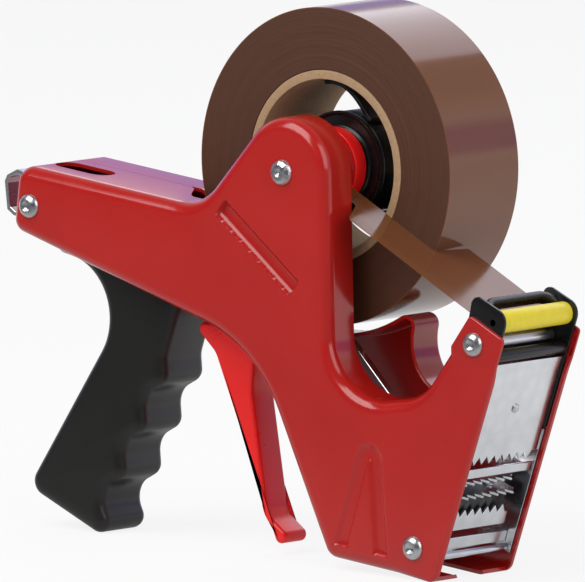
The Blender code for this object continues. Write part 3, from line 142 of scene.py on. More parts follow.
# Hub and tape
AXLE_ROUND = 0.0040
AXLE_HEAD = 0.0056
SLEEVE_ROUND = 0.0085
ROLL_NEAR_Y = 0.0300
KNOB_LENGTH = 0.0075
KNOB_ROUND = 0.0170
WASHER_THICK = 0.0012
HUB_FLANGE_ROUND = 0.0235
HUB_FLANGE_THICK = 0.0028
DRUM_ROUND = 0.0230
DRUM_WALL = 0.0025
DRUM_WEB = 0.0030
HUB_BORE_ROUND = 0.0065
CAP_ROUND = 0.0245
CAP_THICK = 0.0030
FIN_COUNT = 3
FIN_THICK = 0.0022
FIN_LENGTH = 0.0300
FIN_SWEEP = math.radians(54.43)
CORE_BORE_ROUND = 0.0381
CORE_WALL = 0.0040
ROLL_ROUND = 0.0695
STRIP_MEETS_ROLLER = math.radians(22)
STRIP_TAPER = 0.0090
STRIP_THICK = 0.0001
STRIP_WAVE = 0.0002
STRIP_WAVES = 90
STRIP_STILL_SHARE = 0.4
ROLL_CORNER = 0.0004
ROLL_SINK = 0.0001
TURN_PROUD = 0.00012
AXLE_BORE = AXLE_ROUND + GAP
KNOB_NEAR_Y = ROLL_NEAR_Y + GAP
KNOB_FAR_Y = KNOB_NEAR_Y + KNOB_LENGTH
HUB_FLANGE_NEAR_Y = KNOB_FAR_Y + WASHER_THICK + GAP * 2
DRUM_NEAR_Y = HUB_FLANGE_NEAR_Y + HUB_FLANGE_THICK + GAP
CAP_FAR_Y = ROLL_NEAR_Y + TAPE_WIDTH - GAP
DRUM_FAR_Y = CAP_FAR_Y - CAP_THICK - GAP

# Cutting head, in the plane of the front edges
LINER_THICK = 0.0015
LINER_SETBACK = 0.0019
LINER_FOOT = 0.0490
LINER_FOOT_DEPTH = 0.0100
LINER_FOOT_ROUND = 0.0020
ROLLER_BACK = 0.0084
ROLLER_UP = 0.0034
ROLLER_ROUND = 0.0050
ROLLER_PIN_ROUND = 0.0015
GUARD_BACK = 0.0185
GUARD_UP = 0.0071
GUARD_ROUND = 0.0030
GUARD_CHEEK = 0.0038
GUARD_CORNER = 0.0075
GUARD_INSET_SHARE = 0.75
GUARD_WIDE_SHARE = 0.62
GUARD_HIGH_SHARE = 0.92
GUIDE_BACK = 0.0046
GUIDE_DOWN = 0.0112
GUIDE_ROUND = 0.0028
PLATE_THICK = 0.0012
PLATE_BACK = 0.0028
BUTTON_ROUND = 0.0021
BUTTON_RISE = 0.0009
BUTTON_DOWN = 0.0370
ROD_DOWN = 0.1062
ROD_BACK = 0.0052
ROD_ROUND = 0.0016

# Pistol grip
GRIP_NEAR_Y = 0.0120
GRIP_THICK = 0.0310
GRIP_FILLET = 0.0050
GRIP_REACH = 0.1340
GRIP_FOOT_Z = -0.1800
GRIP_TOE_X = -0.0963
GRIP_TOE_ROUND = 0.0055
GRIP_HEEL_Z = -0.1630
GRIP_HEEL_ROUND = 0.0070
GRIP_NECK_X = -0.0620
GRIP_NECK_Z = -0.0720
GRIP_HORN_Z = -0.0555
GRIP_SLOPE = math.radians(21.8)
FINGER_COUNT = 4
KNUCKLE_TOP = Vector((-0.0660, -0.1064))
KNUCKLE_PITCH = 0.0245
KNUCKLE_ROUND = 0.0060
HOLLOW_ROUND = 0.0095
HOLLOW_DEPTH = 0.0050
WEB_X = -0.1260
WEB_Z = -0.0880
WEB_ROUND = 0.0260

# Trigger
TRIGGER_NEAR_Y = 0.0200
TRIGGER_WIDTH = 0.0160
TRIGGER_FILLET = 0.0018
TRIGGER_REACH = 0.0550
TRIGGER_FOOT_Z = -0.1665
PIVOT_X = -0.0160
PIVOT_Z = -0.0720
PIVOT_ROUND = 0.0020
LEVER_THICK = 0.0092
LEVER_INSET = 0.0010
LEVER_BOSS = 0.0065
LEVER_TIP_X = -0.0140
LEVER_TIP_Z = -0.0500
LEVER_TIP_ROUND = 0.0040
LEVER_ROOT_SHARES = (-0.600, 0.540, 0.100)

# Small round edges
EDGE_ROUND = 0.00025
KNOB_EDGE = 0.0007
HUB_EDGE = 0.0004
CAP_EDGE = 0.0006
FIN_EDGE = 0.0004
BAR_EDGE = 0.0003
GRIP_EDGE = 0.0003
TRIGGER_EDGE = 0.0002

# Smoothness
ARC_STEP = math.radians(4)
FILLET_STEPS = 8
OUTLINE_STEP = 0.0040
GROOVE_GRID = 0.0007
RIB_GRID = 0.0008
BIG_SEGMENTS = 160
ROLL_SEGMENTS = 192
SMALL_SEGMENTS = 48
GUARD_SEGMENTS = 24
GUARD_STEPS = 10
FIN_STEPS = 24
ROLL_TURNS = 56
ROLL_SEED = 11
STRIP_ROWS = 60
STRIP_COLUMNS = 16
FLAT_ANGLE = math.radians(1.5)
SHARP_ANGLE = math.radians(28)
BEVEL_ANGLE = math.radians(34)
CORNER_SHARE = 1 / 2.2

# Camera, fitted to the photograph: 585 pixels across 36 mm of sensor
PICTURE_WIDE = 585
SENSOR_WIDE = 36.0
FOCAL_PIXELS = 27669
CAMERA_AZIMUTH = math.radians(38.919)
CAMERA_ELEVATION = math.radians(7.521)
CAMERA_ROLL = math.radians(1.127)
CAMERA_AWAY = 12.0
CAMERA_ASIDE = 0.004688
CAMERA_BELOW = 0.051422

# Light: each panel's name, azimuth, elevation, distance, width, height, power and colour
WHITE = (1, 1, 1, 1)
LAMPS = (
    ("key_panel", -20, 48, 1.6, 1.2, 1.2, 17, (1, 1, 1)),
    ("front_panel", 75, 30, 1.8, 1.0, 1.4, 9, (1, 1, 1)),
    ("back_panel", 200, 35, 2.0, 1.6, 0.8, 7, (0.86, 0.88, 1.0)),
)
LAMP_AIM_UP = 0.12
SKY_BANDS = (
    (0.0, WHITE), (0.05, (0.95, 0.96, 1, 1)), (0.10, (0.40, 0.38, 0.80, 1)),
    (0.26, (0.36, 0.35, 0.75, 1)), (0.34, (0.9, 0.9, 0.95, 1)), (0.5, (0.55, 0.55, 0.57, 1)),
    (1.0, (0.3, 0.3, 0.31, 1)),
)
SKY_LIGHT = 0.45
SKY_SPREAD = 0.25
NEAR_ROOM = 0.1
FLOOR_REACH = 30
FLOOR_TONE = 0.82
FLOOR_ROUGHNESS = 0.9
FLOOR_GLOW = 0.85
FLOOR_SPREAD = 0.3


def place_of_body():
    # The body's own axes in the frame: the hub's axle and the trigger's pin give its tilt
    joints = {joint["name"]: joint for joint in frame["joints"]}
    axle = Vector(joints["hub_spin"]["pos_m"])
    pivot = Vector(joints["trigger_pull"]["pos_m"]) - axle
    tilt = math.atan2(PIVOT_Z, PIVOT_X) - math.atan2(pivot.z, pivot.x)
    near_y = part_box("near_side_shell")[0].y
    return Matrix.Translation((axle.x, near_y, axle.z)) @ Matrix.Rotation(tilt, 4, "Y")


BODY = place_of_body()
FRONT_LEAN = math.atan2(TOWER_FRONT_X - FRONT_FOOT_X, TOWER_FRONT_Z - FRONT_FOOT_Z)
FORWARD = Vector((math.cos(FRONT_LEAN), -math.sin(FRONT_LEAN)))
UPWARD = Vector((math.sin(FRONT_LEAN), math.cos(FRONT_LEAN)))
TOWER_TIP = Vector((TOWER_FRONT_X, TOWER_FRONT_Z))
HEAD = BODY @ Matrix.Translation((TOWER_TIP.x, 0, TOWER_TIP.y)) @ Matrix.Rotation(FRONT_LEAN, 4, "Y")


def srgb(red, green, blue):
    # A colour as a picture writes it, in the values that light adds up in
    def one(level):
        level /= 255
        return level / 12.92 if level <= 0.04045 else ((level + 0.055) / 1.055) ** 2.4
    return (one(red), one(green), one(blue), 1.0)


class Wire:
    # A socket in a material, which takes part in sums
    def __init__(self, finish, socket):
        self.finish = finish
        self.socket = socket

    def work(self, operation, *parts, clamp=False):
        settings = {"operation": operation, "use_clamp": clamp}
        return self.finish.make("ShaderNodeMath", settings, dict(enumerate(parts)))

    def __add__(self, other):
        return self.work("ADD", self, other)

    def __sub__(self, other):
        return self.work("SUBTRACT", self, other)

    def __rsub__(self, other):
        return self.work("SUBTRACT", other, self)

    def __mul__(self, other):
        return self.work("MULTIPLY", self, other)

    __radd__ = __add__
    __rmul__ = __mul__

    def over(self, edge, slope):
        # 0 below the edge and 1 above it, with a soft step as wide as the slope
        return self.work("MULTIPLY_ADD", self, 1 / slope, -edge / slope, clamp=True)


def feed(tree, socket, value):
    # Links an output to an input, or sets the input to a plain value
    value = value.socket if isinstance(value, Wire) else value
    if isinstance(value, bpy.types.NodeSocket):
        tree.links.new(value, socket)
    else:
        socket.default_value = value


def add_node(tree, kind, settings=None, values=None, stops=()):
    # A new node with its options, its inputs and, on a colour ramp, its stops
    node = tree.nodes.new(kind)
    for name, value in (settings or {}).items():
        setattr(node, name, value)
    for name, value in (values or {}).items():
        feed(tree, node.inputs[name], value)
    for number, (place, colour) in enumerate(stops):
        if number == len(node.color_ramp.elements):
            node.color_ramp.elements.new(1.0)
        node.color_ramp.elements[number].position = place
        node.color_ramp.elements[number].color = colour
    return node


class Finish:
    # One material, made around a Principled shader
    def __init__(self, name, colour, roughness, metallic=0.0, **fixed):
        self.material = bpy.data.materials.new(name)
        self.material.use_nodes = True
        self.tree = self.material.node_tree
        self.shader = self.tree.nodes["Principled BSDF"]
        self.set("Base Color", colour)
        self.set("Roughness", roughness)
        self.set("Metallic", metallic)
        for socket, value in fixed.items():
            self.set(socket.replace("_", " ").title().replace("Ior", "IOR"), value)

    def make(self, kind, settings=None, values=None, out=0):
        return Wire(self, add_node(self.tree, kind, settings, values).outputs[out])

    def set(self, name, value):
        feed(self.tree, self.shader.inputs[name], value)

    def places(self, stretch=(1, 1, 1), centre=(0, 0, 0)):
        # Object coordinates, measured from a centre and stretched along the axes
        raw = self.make("ShaderNodeTexCoord", out=3)
        moved = self.make("ShaderNodeVectorMath", {"operation": "SUBTRACT"}, {0: raw, 1: centre})
        return self.make("ShaderNodeVectorMath", {"operation": "MULTIPLY"}, {0: moved, 1: stretch})

    def noise(self, scale, detail=3.0, rough=0.5, **places):
        values = {"Vector": self.places(**places), "Scale": scale, "Detail": detail, "Roughness": rough}
        return self.make("ShaderNodeTexNoise", {"noise_dimensions": "3D"}, values)

    def rings(self, radius, scale, detail, rough=0.5):
        # Noise that varies with the radius alone
        values = {"W": radius * scale, "Scale": 1.0, "Detail": detail, "Roughness": rough}
        return self.make("ShaderNodeTexNoise", {"noise_dimensions": "1D"}, values)

    def cells(self, scale):
        return self.make("ShaderNodeTexVoronoi", None, {"Vector": self.places(), "Scale": scale})

    def mix(self, share, first, second):
        return self.make("ShaderNodeMix", {"data_type": "RGBA"}, {0: share, 6: first, 7: second}, out=2)

    def wear(self, first, second, tone, rough, span, base):
        # A tone between two colours and a roughness, each from a pattern
        self.set("Base Color", self.mix(tone, first, second))
        self.set("Roughness", rough * span + base)
        return self.material

    def bump(self, height, depth, strength):
        values = {"Height": height, "Distance": depth, "Strength": strength}
        self.set("Normal", self.make("ShaderNodeBump", None, values))


def red_enamel():
    # Stoved enamel on pressed steel: a faint orange peel, smears and a deeper tone in places
    paint = Finish("red_enamel", srgb(178, 30, 25), 0.2, coat_weight=0.35, coat_roughness=0.08)
    paint.bump(paint.noise(420.0, 2.0), 0.00003, 0.5)
    cloud, smear = paint.noise(22.0, 2.0), paint.noise(60.0, 4.0)
    return paint.wear(srgb(166, 24, 20), srgb(184, 32, 27), cloud, smear, 0.12, 0.12)


def red_moulding():
    # Bright moulded plastic with fine flow marks
    plastic = Finish("red_moulding", srgb(232, 16, 16), 0.3)
    plastic.bump(plastic.noise(700.0, 2.0), 0.00003, 0.35)
    flow, smear = plastic.noise(30.0, 3.0, stretch=(1, 1, 0.25)), plastic.noise(90.0, 3.0)
    return plastic.wear(srgb(232, 16, 16), srgb(246, 34, 32), flow, smear, 0.16, 0.22)


def black_moulding():
    plastic = Finish("black_moulding", srgb(20, 20, 21), 0.22)
    plastic.bump(plastic.noise(800.0, 2.0), 0.00002, 0.4)
    cloud, smear = plastic.noise(40.0), plastic.noise(120.0, 4.0)
    return plastic.wear(srgb(12, 12, 13), srgb(26, 26, 28), cloud, smear, 0.2, 0.16)


def grip_moulding():
    # Satin black plastic with a fine moulded grain
    plastic = Finish("grip_moulding", srgb(24, 24, 22), 0.35)
    plastic.bump(plastic.cells(900.0), 0.00002, 0.3)
    cloud, smear = plastic.noise(25.0), plastic.noise(70.0, 4.0)
    return plastic.wear(srgb(20, 20, 18), srgb(30, 29, 27), cloud, smear, 0.18, 0.27)


def zinc_sheet():
    # Zinc-plated sheet: faint spangle, rolling marks and small scuffs
    steel = Finish("zinc_sheet", srgb(226, 228, 232), 0.26, 1.0)
    marks = steel.noise(120.0, 4.0, stretch=(1, 0.06, 1))
    steel.bump(marks, 0.00002, 0.4)
    tone = steel.cells(160.0) * 0.35 + marks * 0.5
    return steel.wear(srgb(246, 247, 250), srgb(206, 209, 214), tone, marks, 0.22, 0.14)


def rivet_steel():
    # Peened heads: uneven, bright and lightly hammered
    steel = Finish("rivet_steel", srgb(212, 214, 216), 0.3, 1.0)
    dents = steel.noise(520.0, 3.0)
    steel.bump(dents, 0.00012, 0.7)
    return steel.wear(srgb(188, 190, 192), srgb(236, 237, 238), dents, dents, 0.25, 0.18)


def blade_steel():
    # Ground steel with the wheel's lines across the blade
    steel = Finish("ground_blade_steel", srgb(222, 224, 228), 0.16, 1.0)
    lines = steel.noise(900.0, 3.0, stretch=(0.05, 1, 1))
    steel.bump(lines, 0.00001, 0.5)
    return steel.wear(srgb(196, 199, 204), srgb(240, 241, 243), lines, lines, 0.2, 0.1)


def yellow_rubber():
    rubber = Finish("yellow_rubber", srgb(232, 212, 46), 0.4)
    rubber.bump(rubber.noise(1500.0, 2.0), 0.00003, 0.5)
    speck = rubber.noise(300.0, 4.0)
    return rubber.wear(srgb(222, 200, 34), srgb(240, 222, 58), speck, speck, 0.25, 0.28)


def core_card():
    # Raw wound board: long fibres, dark flecks and a spiral seam's soft tone
    card = Finish("core_card", srgb(172, 140, 106), 0.9)
    fibre = card.noise(500.0, 6.0, 0.7)
    fleck = card.noise(900.0, 2.0).over(0.64, 0.06)
    tone = card.mix(fibre, srgb(148, 116, 84), srgb(190, 158, 124))
    card.set("Base Color", card.mix(fleck * 0.5, tone, srgb(96, 70, 48)))
    card.bump(fibre, 0.0002, 0.6)
    return card.material


def wound_film():
    # The roll: turns that show as fine rings on the sides, glossy film outside
    film = Finish("wound_film", srgb(104, 62, 36), 0.24, coat_weight=0.12, coat_roughness=0.1)
    across = film.places(stretch=(1, 0, 1), centre=BODY.translation)
    radius = film.make("ShaderNodeVectorMath", {"operation": "LENGTH"}, {0: across}, out=1)
    outside = radius.over(ROLL_ROUND - ROLL_CORNER * 1.5, ROLL_CORNER)
    rings = film.rings(radius, 2600.0, 4.0, 0.7)
    broad = film.rings(radius, 260.0, 2.0)
    smear = film.noise(45.0, 5.0, stretch=(1, 0.3, 1))
    side = film.mix(rings, srgb(50, 27, 17), srgb(110, 66, 42))
    side = film.mix(broad * 0.6, side, srgb(78, 43, 26))
    face = film.mix(smear, srgb(104, 60, 32), srgb(122, 72, 40))
    film.set("Base Color", film.mix(outside, side, face))
    film.set("Roughness", (1 - outside) * (rings * 0.25 + 0.22) + smear * 0.12 + 0.08)
    film.bump(rings * (1 - outside), 0.0002, 0.5)
    return film.material


def tape_film():
    # One layer of brown film, which lets some light through
    film = Finish("tape_film", srgb(150, 98, 60), 0.14, ior=1.45)
    streak = film.noise(60.0, 4.0, stretch=(0.2, 1, 0.2))
    film.set("Alpha", streak * 0.08 + 0.86)
    return film.wear(srgb(104, 58, 28), srgb(128, 76, 42), streak, streak, 0.1, 0.1)


RED = red_enamel()
RED_PLASTIC = red_moulding()
BLACK = black_moulding()
GRIP = grip_moulding()
ZINC = zinc_sheet()
RIVET = rivet_steel()
BLADE = blade_steel()
YELLOW = yellow_rubber()
CARD = core_card()
WOUND = wound_film()
FILM = tape_film()
# CAD pieces that get clean faces, with the width of their round edges
DRESSED_PIECES = (
    (ZINC, "frame", {
        "front_frame": 0.0002, "blade_cover": 0.0004, "lower_plate": 0.0004, "tail_strap": 0.0003}),
    (ZINC, "blade_slide", {"blade_holder": 0.0003, "blade_clamp": 0.0002, "push_link": 0.0003}),
    (BLADE, "blade_slide", {"cutting_blade": 0.0001}),
    (BLACK, "blade_slide", {"blade_rest": 0.0003}),
)


def clamped(value):
    return min(1.0, max(0.0, value))


def between(start, end, share):
    return start + (end - start) * clamped(share)


def eased(share):
    share = clamped(share)
    return share * share * (3 - 2 * share)


def in_front_plane(point):
    offset = Vector(point) - TOWER_TIP
    return offset.dot(FORWARD), offset.dot(UPWARD)


def from_front_plane(back, up):
    return TOWER_TIP + FORWARD * back + UPWARD * up


def belt(circles, longest=OUTLINE_STEP, arc_step=ARC_STEP):
    # The outline that a belt takes round circles, counter-clockwise, as points with their
    # outward directions. A circle is x, z, radius and +1 where the belt turns left round it
    # or -1 where it turns right.
    count = len(circles)
    runs = []
    for index in range(count):
        ax, az, ar, at = circles[index]
        bx, bz, br, bt = circles[(index + 1) % count]
        step = Vector((bx - ax, bz - az))
        side = bt * br - at * ar
        straight = math.sqrt(max(step.length_squared - side * side, 0.0))
        runs.append((math.atan2(step.y, step.x) - math.atan2(side, straight), straight))
    outline = []
    for index in range(count):
        x, z, radius, turn = circles[index]
        arriving = runs[index - 1][0]
        leaving, straight = runs[index]
        swing = (leaving - arriving + math.pi) % (2 * math.pi) - math.pi
        if swing * turn < 0 and abs(swing) > math.pi / 2:
            swing += turn * 2 * math.pi
        steps = max(2, math.ceil(abs(swing) / arc_step))
        for number in range(steps + 1):
            heading = arriving + swing * number / steps
            out = Vector((math.sin(heading), -math.cos(heading)))
            outline.append((Vector((x, z)) + out * turn * radius, out))
        pieces = max(1, math.ceil(straight / longest))
        start, out = outline[-1]
        along = Vector((math.cos(leaving), math.sin(leaving)))
        for number in range(1, pieces):
            outline.append((start + along * straight * number / pieces, out))
    tidy = []
    for point, out in outline:
        if not tidy or (point - tidy[-1][0]).length > MERGE * 10:
            tidy.append((point, out))
    if (tidy[0][0] - tidy[-1][0]).length < MERGE * 10:
        tidy.pop()
    return tidy


def in_scene(name, data):
    thing = bpy.data.objects.new(name, data)
    bpy.context.scene.collection.objects.link(thing)
    return thing


def smooth(mesh):
    mesh.shade_smooth()
    mesh.set_sharp_from_angle(angle=SHARP_ANGLE)


def evaluated(thing):
    # The mesh that the object's modifiers make
    graph = bpy.context.evaluated_depsgraph_get()
    return bpy.data.meshes.new_from_object(thing.evaluated_get(graph), depsgraph=graph)


def finished(name, mesh, finish, body, nodes=()):
    # Puts a mesh that already lies in the frame into the scene, on its body
    thing = in_scene(name, mesh)
    mesh.materials.clear()
    mesh.materials.append(finish)
    smooth(mesh)
    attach(thing, body)
    if nodes:
        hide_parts(*nodes)
    return thing


def mesh_of(bm, name, place=BODY, closed=True):
    bmesh.ops.remove_doubles(bm, verts=bm.verts, dist=MERGE)
    if closed:
        bmesh.ops.recalc_face_normals(bm, faces=bm.faces)
    bm.transform(place)
    mesh = bpy.data.meshes.new(name)
    bm.to_mesh(mesh)
    bm.free()
    return mesh


def rounded(thing, width=EDGE_ROUND, segments=2):
    edge = thing.modifiers.new("rounded_edges", "BEVEL")
    edge.width = width
    edge.segments = segments
    edge.limit_method = "ANGLE"
    edge.angle_limit = BEVEL_ANGLE
    edge.use_clamp_overlap = True


def settled(thing):
    # Turns the modifiers' result into the object's own plain mesh
    mesh = evaluated(thing)
    thing.modifiers.clear()
    thing.data = mesh
    smooth(mesh)


def tool(name, bm, place=BODY):
    return in_scene(name, mesh_of(bm, name, place))


def carve(thing, cutters, operation="DIFFERENCE"):
    for cutter in cutters:
        step = thing.modifiers.new(cutter.name, "BOOLEAN")
        step.operation = operation
        step.solver = "EXACT"
        step.object = cutter
    settled(thing)
    for cutter in cutters:
        bpy.data.objects.remove(cutter, do_unlink=True)


def bridge(bm, rings, closed=True):
    # Faces between neighbouring rings, or between neighbouring open rows
    for lower, upper in zip(rings, rings[1:]):
        for index in range(len(lower) if closed else len(lower) - 1):
            after = (index + 1) % len(lower)
            bm.faces.new((lower[index], lower[after], upper[after], upper[index]))


def capped(bm, rings):
    bridge(bm, rings)
    bm.faces.new(rings[0])
    bm.faces.new(rings[-1])
    return bm


def ring_of(bm, outline, insets, depths):
    return [bm.verts.new((p.x - n.x * i, d, p.y - n.y * i)) for (p, n), i, d in zip(outline, insets, depths)]


def slab(circles, near_y, thick, fillet, steps=FILLET_STEPS):
    # A thick plate with the belt's outline and round edges on both faces
    outline = belt(circles)
    count = len(outline)
    bm = bmesh.new()
    rings = []
    quarter = [math.pi / 2 * step / steps for step in range(steps + 1)]
    for turns, face_y, inward in ((quarter, near_y, 1), (quarter[::-1], near_y + thick, -1)):
        for turn in turns:
            inset = fillet * (1 - math.sin(turn))
            depth = face_y + inward * fillet * (1 - math.cos(turn))
            rings.append(ring_of(bm, outline, [inset] * count, [depth] * count))
    return capped(bm, rings)


def extruded(corners, shift):
    bm = bmesh.new()
    face = bm.faces.new([bm.verts.new(corner) for corner in corners])
    grown = bmesh.ops.extrude_face_region(bm, geom=[face])
    moved = [item for item in grown["geom"] if isinstance(item, bmesh.types.BMVert)]
    bmesh.ops.translate(bm, vec=shift, verts=moved)
    return bm


def flat(points, near_y, thick):
    return extruded([(x, near_y, z) for x, z in points], (0, thick, 0))


def level(points, top_z, thick):
    return extruded([(x, y, top_z) for x, y in points], (0, 0, -thick))


def turned(profile, steps=BIG_SEGMENTS, x=0.0, z=0.0):
    # A piece turned about an axis along Y, from its profile of radius and Y
    bm = bmesh.new()
    rings = []
    for radius, y in profile:
        if radius <= MERGE:
            rings.append([bm.verts.new((x, y, z))] * steps)
            continue
        ring = []
        for step in range(steps):
            angle = 2 * math.pi * step / steps
            ring.append(bm.verts.new((x + radius * math.cos(angle), y, z + radius * math.sin(angle))))
        rings.append(ring)
    pairs = list(zip(rings, rings[1:]))
    if profile[0][0] > MERGE:
        pairs.append((rings[-1], rings[0]))
    for one, other in pairs:
        for step in range(steps):
            after = (step + 1) % steps
            corners = []
            for corner in (one[step], one[after], other[after], other[step]):
                if corner not in corners:
                    corners.append(corner)
            if len(corners) > 2:
                bm.faces.new(corners)
    return bm


def softened(profile, size, closed=True, steps=3):
    # Rounds each corner of a turned profile with a small arc
    soft = []
    last = len(profile) - 1
    for index, point in enumerate(profile):
        if not closed and index in (0, last):
            soft.append(point)
            continue
        point = Vector(point)
        before = Vector(profile[index - 1]) - point
        after = Vector(profile[(index + 1) % len(profile)]) - point
        reach = min(size, before.length * CORNER_SHARE, after.length * CORNER_SHARE)
        start, end = point + before.normalized() * reach, point + after.normalized() * reach
        for step in range(steps + 1):
            share = step / steps
            soft.append(start.lerp(point, share).lerp(point.lerp(end, share), share).to_tuple())
    return soft


def turned_piece(name, profile, size, finish, body, nodes, place=BODY, segments=BIG_SEGMENTS, steps=3):
    # A finished turned piece with round corners. A solid one starts and ends on its axis.
    bm = turned(softened(profile, size, profile[0][0] > 0, steps), segments)
    return finished(name, mesh_of(bm, name, place), finish, body, nodes)


def bar_profile(radius, near_y, far_y):
    return [(0, far_y), (radius, far_y), (radius, near_y), (0, near_y)]


def ring_profile(outer, inner, near_y, far_y):
    return [(outer, far_y), (outer, near_y), (inner, near_y), (inner, far_y)]


def near_outline():
    tail_x = -TAIL_REACH
    return [
        (tail_x + TAIL_FOOT_ROUND, ARM_BOTTOM_AT_TAIL + TAIL_FOOT_ROUND, TAIL_FOOT_ROUND, 1),
        (BELLY_X, BELLY_Z, BELLY_ROUND, -1),
        (HEEL_X, BOTTOM_Z + HEEL_ROUND, HEEL_ROUND, 1),
        (FRONT_FOOT_X - FOOT_ROUND, BOTTOM_Z + FOOT_ROUND, FOOT_ROUND, 1),
        (TOWER_FRONT_X - TOWER_ROUND, TOWER_FRONT_Z - TOWER_ROUND, TOWER_ROUND, 1),
        (TOWER_REAR_X + TOWER_ROUND, TOWER_REAR_Z - TOWER_ROUND, TOWER_ROUND, 1),
        (NOTCH_FRONT_X, NOTCH_Z, NOTCH_FRONT_ROUND, -1),
        (NOTCH_REAR_X, NOTCH_Z, NOTCH_REAR_ROUND, -1),
        (0, 0, HUMP_ROUND, 1),
        (FLANK_X, ARM_TOP + FLANK_ROUND, FLANK_ROUND, -1),
        (tail_x + TAIL_ROUND, ARM_TOP - TAIL_ROUND, TAIL_ROUND, 1),
    ]


def far_outline():
    near = near_outline()
    arc_reach = FAR_ARC_ROUND + FAR_ARC_CORNER
    rear_z = ARM_TOP - FAR_ARC_CORNER
    rear_x = -math.sqrt(arc_reach * arc_reach - rear_z * rear_z)
    hub_to_notch = Vector((FAR_NOTCH_X, FAR_NOTCH_Z))
    reach = hub_to_notch.length
    notch_reach = FAR_NOTCH_ROUND + FAR_ARC_CORNER
    along = (arc_reach ** 2 - notch_reach ** 2 + reach ** 2) / (2 * reach)
    aside = math.sqrt(max(arc_reach ** 2 - along ** 2, 0.0))
    unit = hub_to_notch.normalized()
    corner = unit * along + Vector((unit.y, -unit.x)) * aside
    return near[:6] + [
        (FAR_NOTCH_X, FAR_NOTCH_Z, FAR_NOTCH_ROUND, -1),
        (corner.x, corner.y, FAR_ARC_CORNER, 1),
        (0, 0, FAR_ARC_ROUND, -1),
        (rear_x, rear_z, FAR_ARC_CORNER, 1),
        near[-1],
    ]


def wall_depth(point, arm_depth):
    back, up = in_front_plane(point)
    depth = between(arm_depth, FLANGE, (point[0] - ARM_SEAM_X) / (ARM_OPEN_X - ARM_SEAM_X))
    if back > -RIM_DEPTH / 2:
        return between(RIM_DEPTH, SHEET, (up + RIM_FADE_TIP) / (RIM_FADE_TIP - RIM_FADE_TOP))
    if back > -FRAME_DEPTH - OVERRUN * 2:
        return between(depth, SHEET, (up + RIM_FADE_FOOT) / (RIM_FADE_FOOT - RIM_FADE_TOP))
    return depth


def edge_fillet(point, fillet, depth):
    back, _ = in_front_plane(point)
    size = between(RIM_FILLET, fillet, (-back - RIM_DEPTH) / FILLET_FADE)
    return min(size, depth * FILLET_SHARE)


def groove_depth(x, z):
    # A round-bottomed trough with abrupt ends
    along = (GROOVE_FRONT - GROOVE_REAR).normalized()
    offset = Vector((x, z)) - GROOVE_REAR
    length = (GROOVE_FRONT - GROOVE_REAR).length
    run = offset.dot(along)
    aside = abs(offset.dot(Vector((-along.y, along.x)))) / (GROOVE_WIDTH / 2)
    if aside >= 1:
        return 0.0
    ends = eased(min(run, length - run) / (GROOVE_DEPTH * GROOVE_END_SHARE) + 0.5)
    return GROOVE_DEPTH * math.sqrt(1 - aside ** GROOVE_POWER) * ends


def rib_depth(x, z):
    # A channel in the shape of a narrow arch that runs out at the lower edge
    foot_z = BOTTOM_Z + NEAR_FILLET
    top_round = RIB_WIDTH / 4
    height = RIB_HEIGHT - top_round
    rise = clamped((z - foot_z) / height)
    half = between(RIB_WIDTH / 2 + RIB_BAND * 0.2, top_round, rise)
    across = abs(x - RIB_FOOT_X)
    if z > foot_z + height:
        across = math.hypot(across, z - foot_z - height)
        half = top_round
    off = abs(across - half + RIB_BAND / 2)
    fade = eased((z - foot_z + NEAR_FILLET * 0.5) / NEAR_FILLET)
    return RIB_DEPTH * eased((RIB_BAND / 2 + RIB_SLOPE / 2 - off) / RIB_SLOPE) * fade


def pressed(bm, face, low, high, step, depth_at):
    # Cuts the flat face into a fine grid inside the box, presses it in and returns its parts
    faces = {face}
    for axis, start, end in ((0, low[0], high[0]), (2, low[1], high[1])):
        normal = [0, 0, 0]
        normal[axis] = 1
        count = math.ceil((end - start) / step)
        for number in range(count + 1):
            place = [0, 0, 0]
            place[axis] = start + (end - start) * number / count
            live = [f for f in faces if f.is_valid]
            if axis == 2:
                live = [f for f in live if low[0] - MERGE < f.calc_center_median().x < high[0] + MERGE]
            edges = {e for f in live for e in f.edges}
            corners = {v for f in live for v in f.verts}
            result = bmesh.ops.bisect_plane(
                bm, geom=live + list(edges) + list(corners), plane_co=place, plane_no=normal,
                dist=MERGE / 5)
            faces = {f for f in faces if f.is_valid}
            faces |= {item for item in result["geom"] if isinstance(item, bmesh.types.BMFace)}
    for vert in {v for f in faces if f.is_valid for v in f.verts}:
        if low[0] < vert.co.x < high[0] and low[1] < vert.co.z < high[1]:
            vert.co.y += depth_at(vert.co.x, vert.co.z)
    return faces


def shell_skin(circles, face_y, inward, fillet, arm_depth, pressings=()):
    # One pressed side: a flat face, a round edge and walls towards the other side
    outline = belt(circles)
    depths = [wall_depth(point, arm_depth) for point, _ in outline]
    fillets = [edge_fillet(point, fillet, depth) for (point, _), depth in zip(outline, depths)]
    bm = bmesh.new()
    rings = []
    for step in range(FILLET_STEPS + 1):
        turn = math.pi / 2 * step / FILLET_STEPS
        insets = [size * (1 - math.sin(turn)) for size in fillets]
        levels = [face_y + inward * size * (1 - math.cos(turn)) for size in fillets]
        rings.append(ring_of(bm, outline, insets, levels))
    rings.append(ring_of(bm, outline, [0] * len(outline), [face_y + inward * d for d in depths]))
    bridge(bm, rings)
    face = bm.faces.new(rings[0])
    bmesh.ops.recalc_face_normals(bm, faces=bm.faces)
    if face.normal.y * inward > 0:
        bmesh.ops.reverse_faces(bm, faces=bm.faces)
    faces = {face}
    for low, high, step, depth_at in pressings:
        owner = [f for f in faces if f.is_valid]
        target = max(owner, key=lambda f: f.calc_area())
        faces |= pressed(bm, target, low, high, step, depth_at)
    wide = [f for f in bm.faces if len(f.verts) > 4]
    bmesh.ops.triangulate(bm, faces=wide)
    return bm


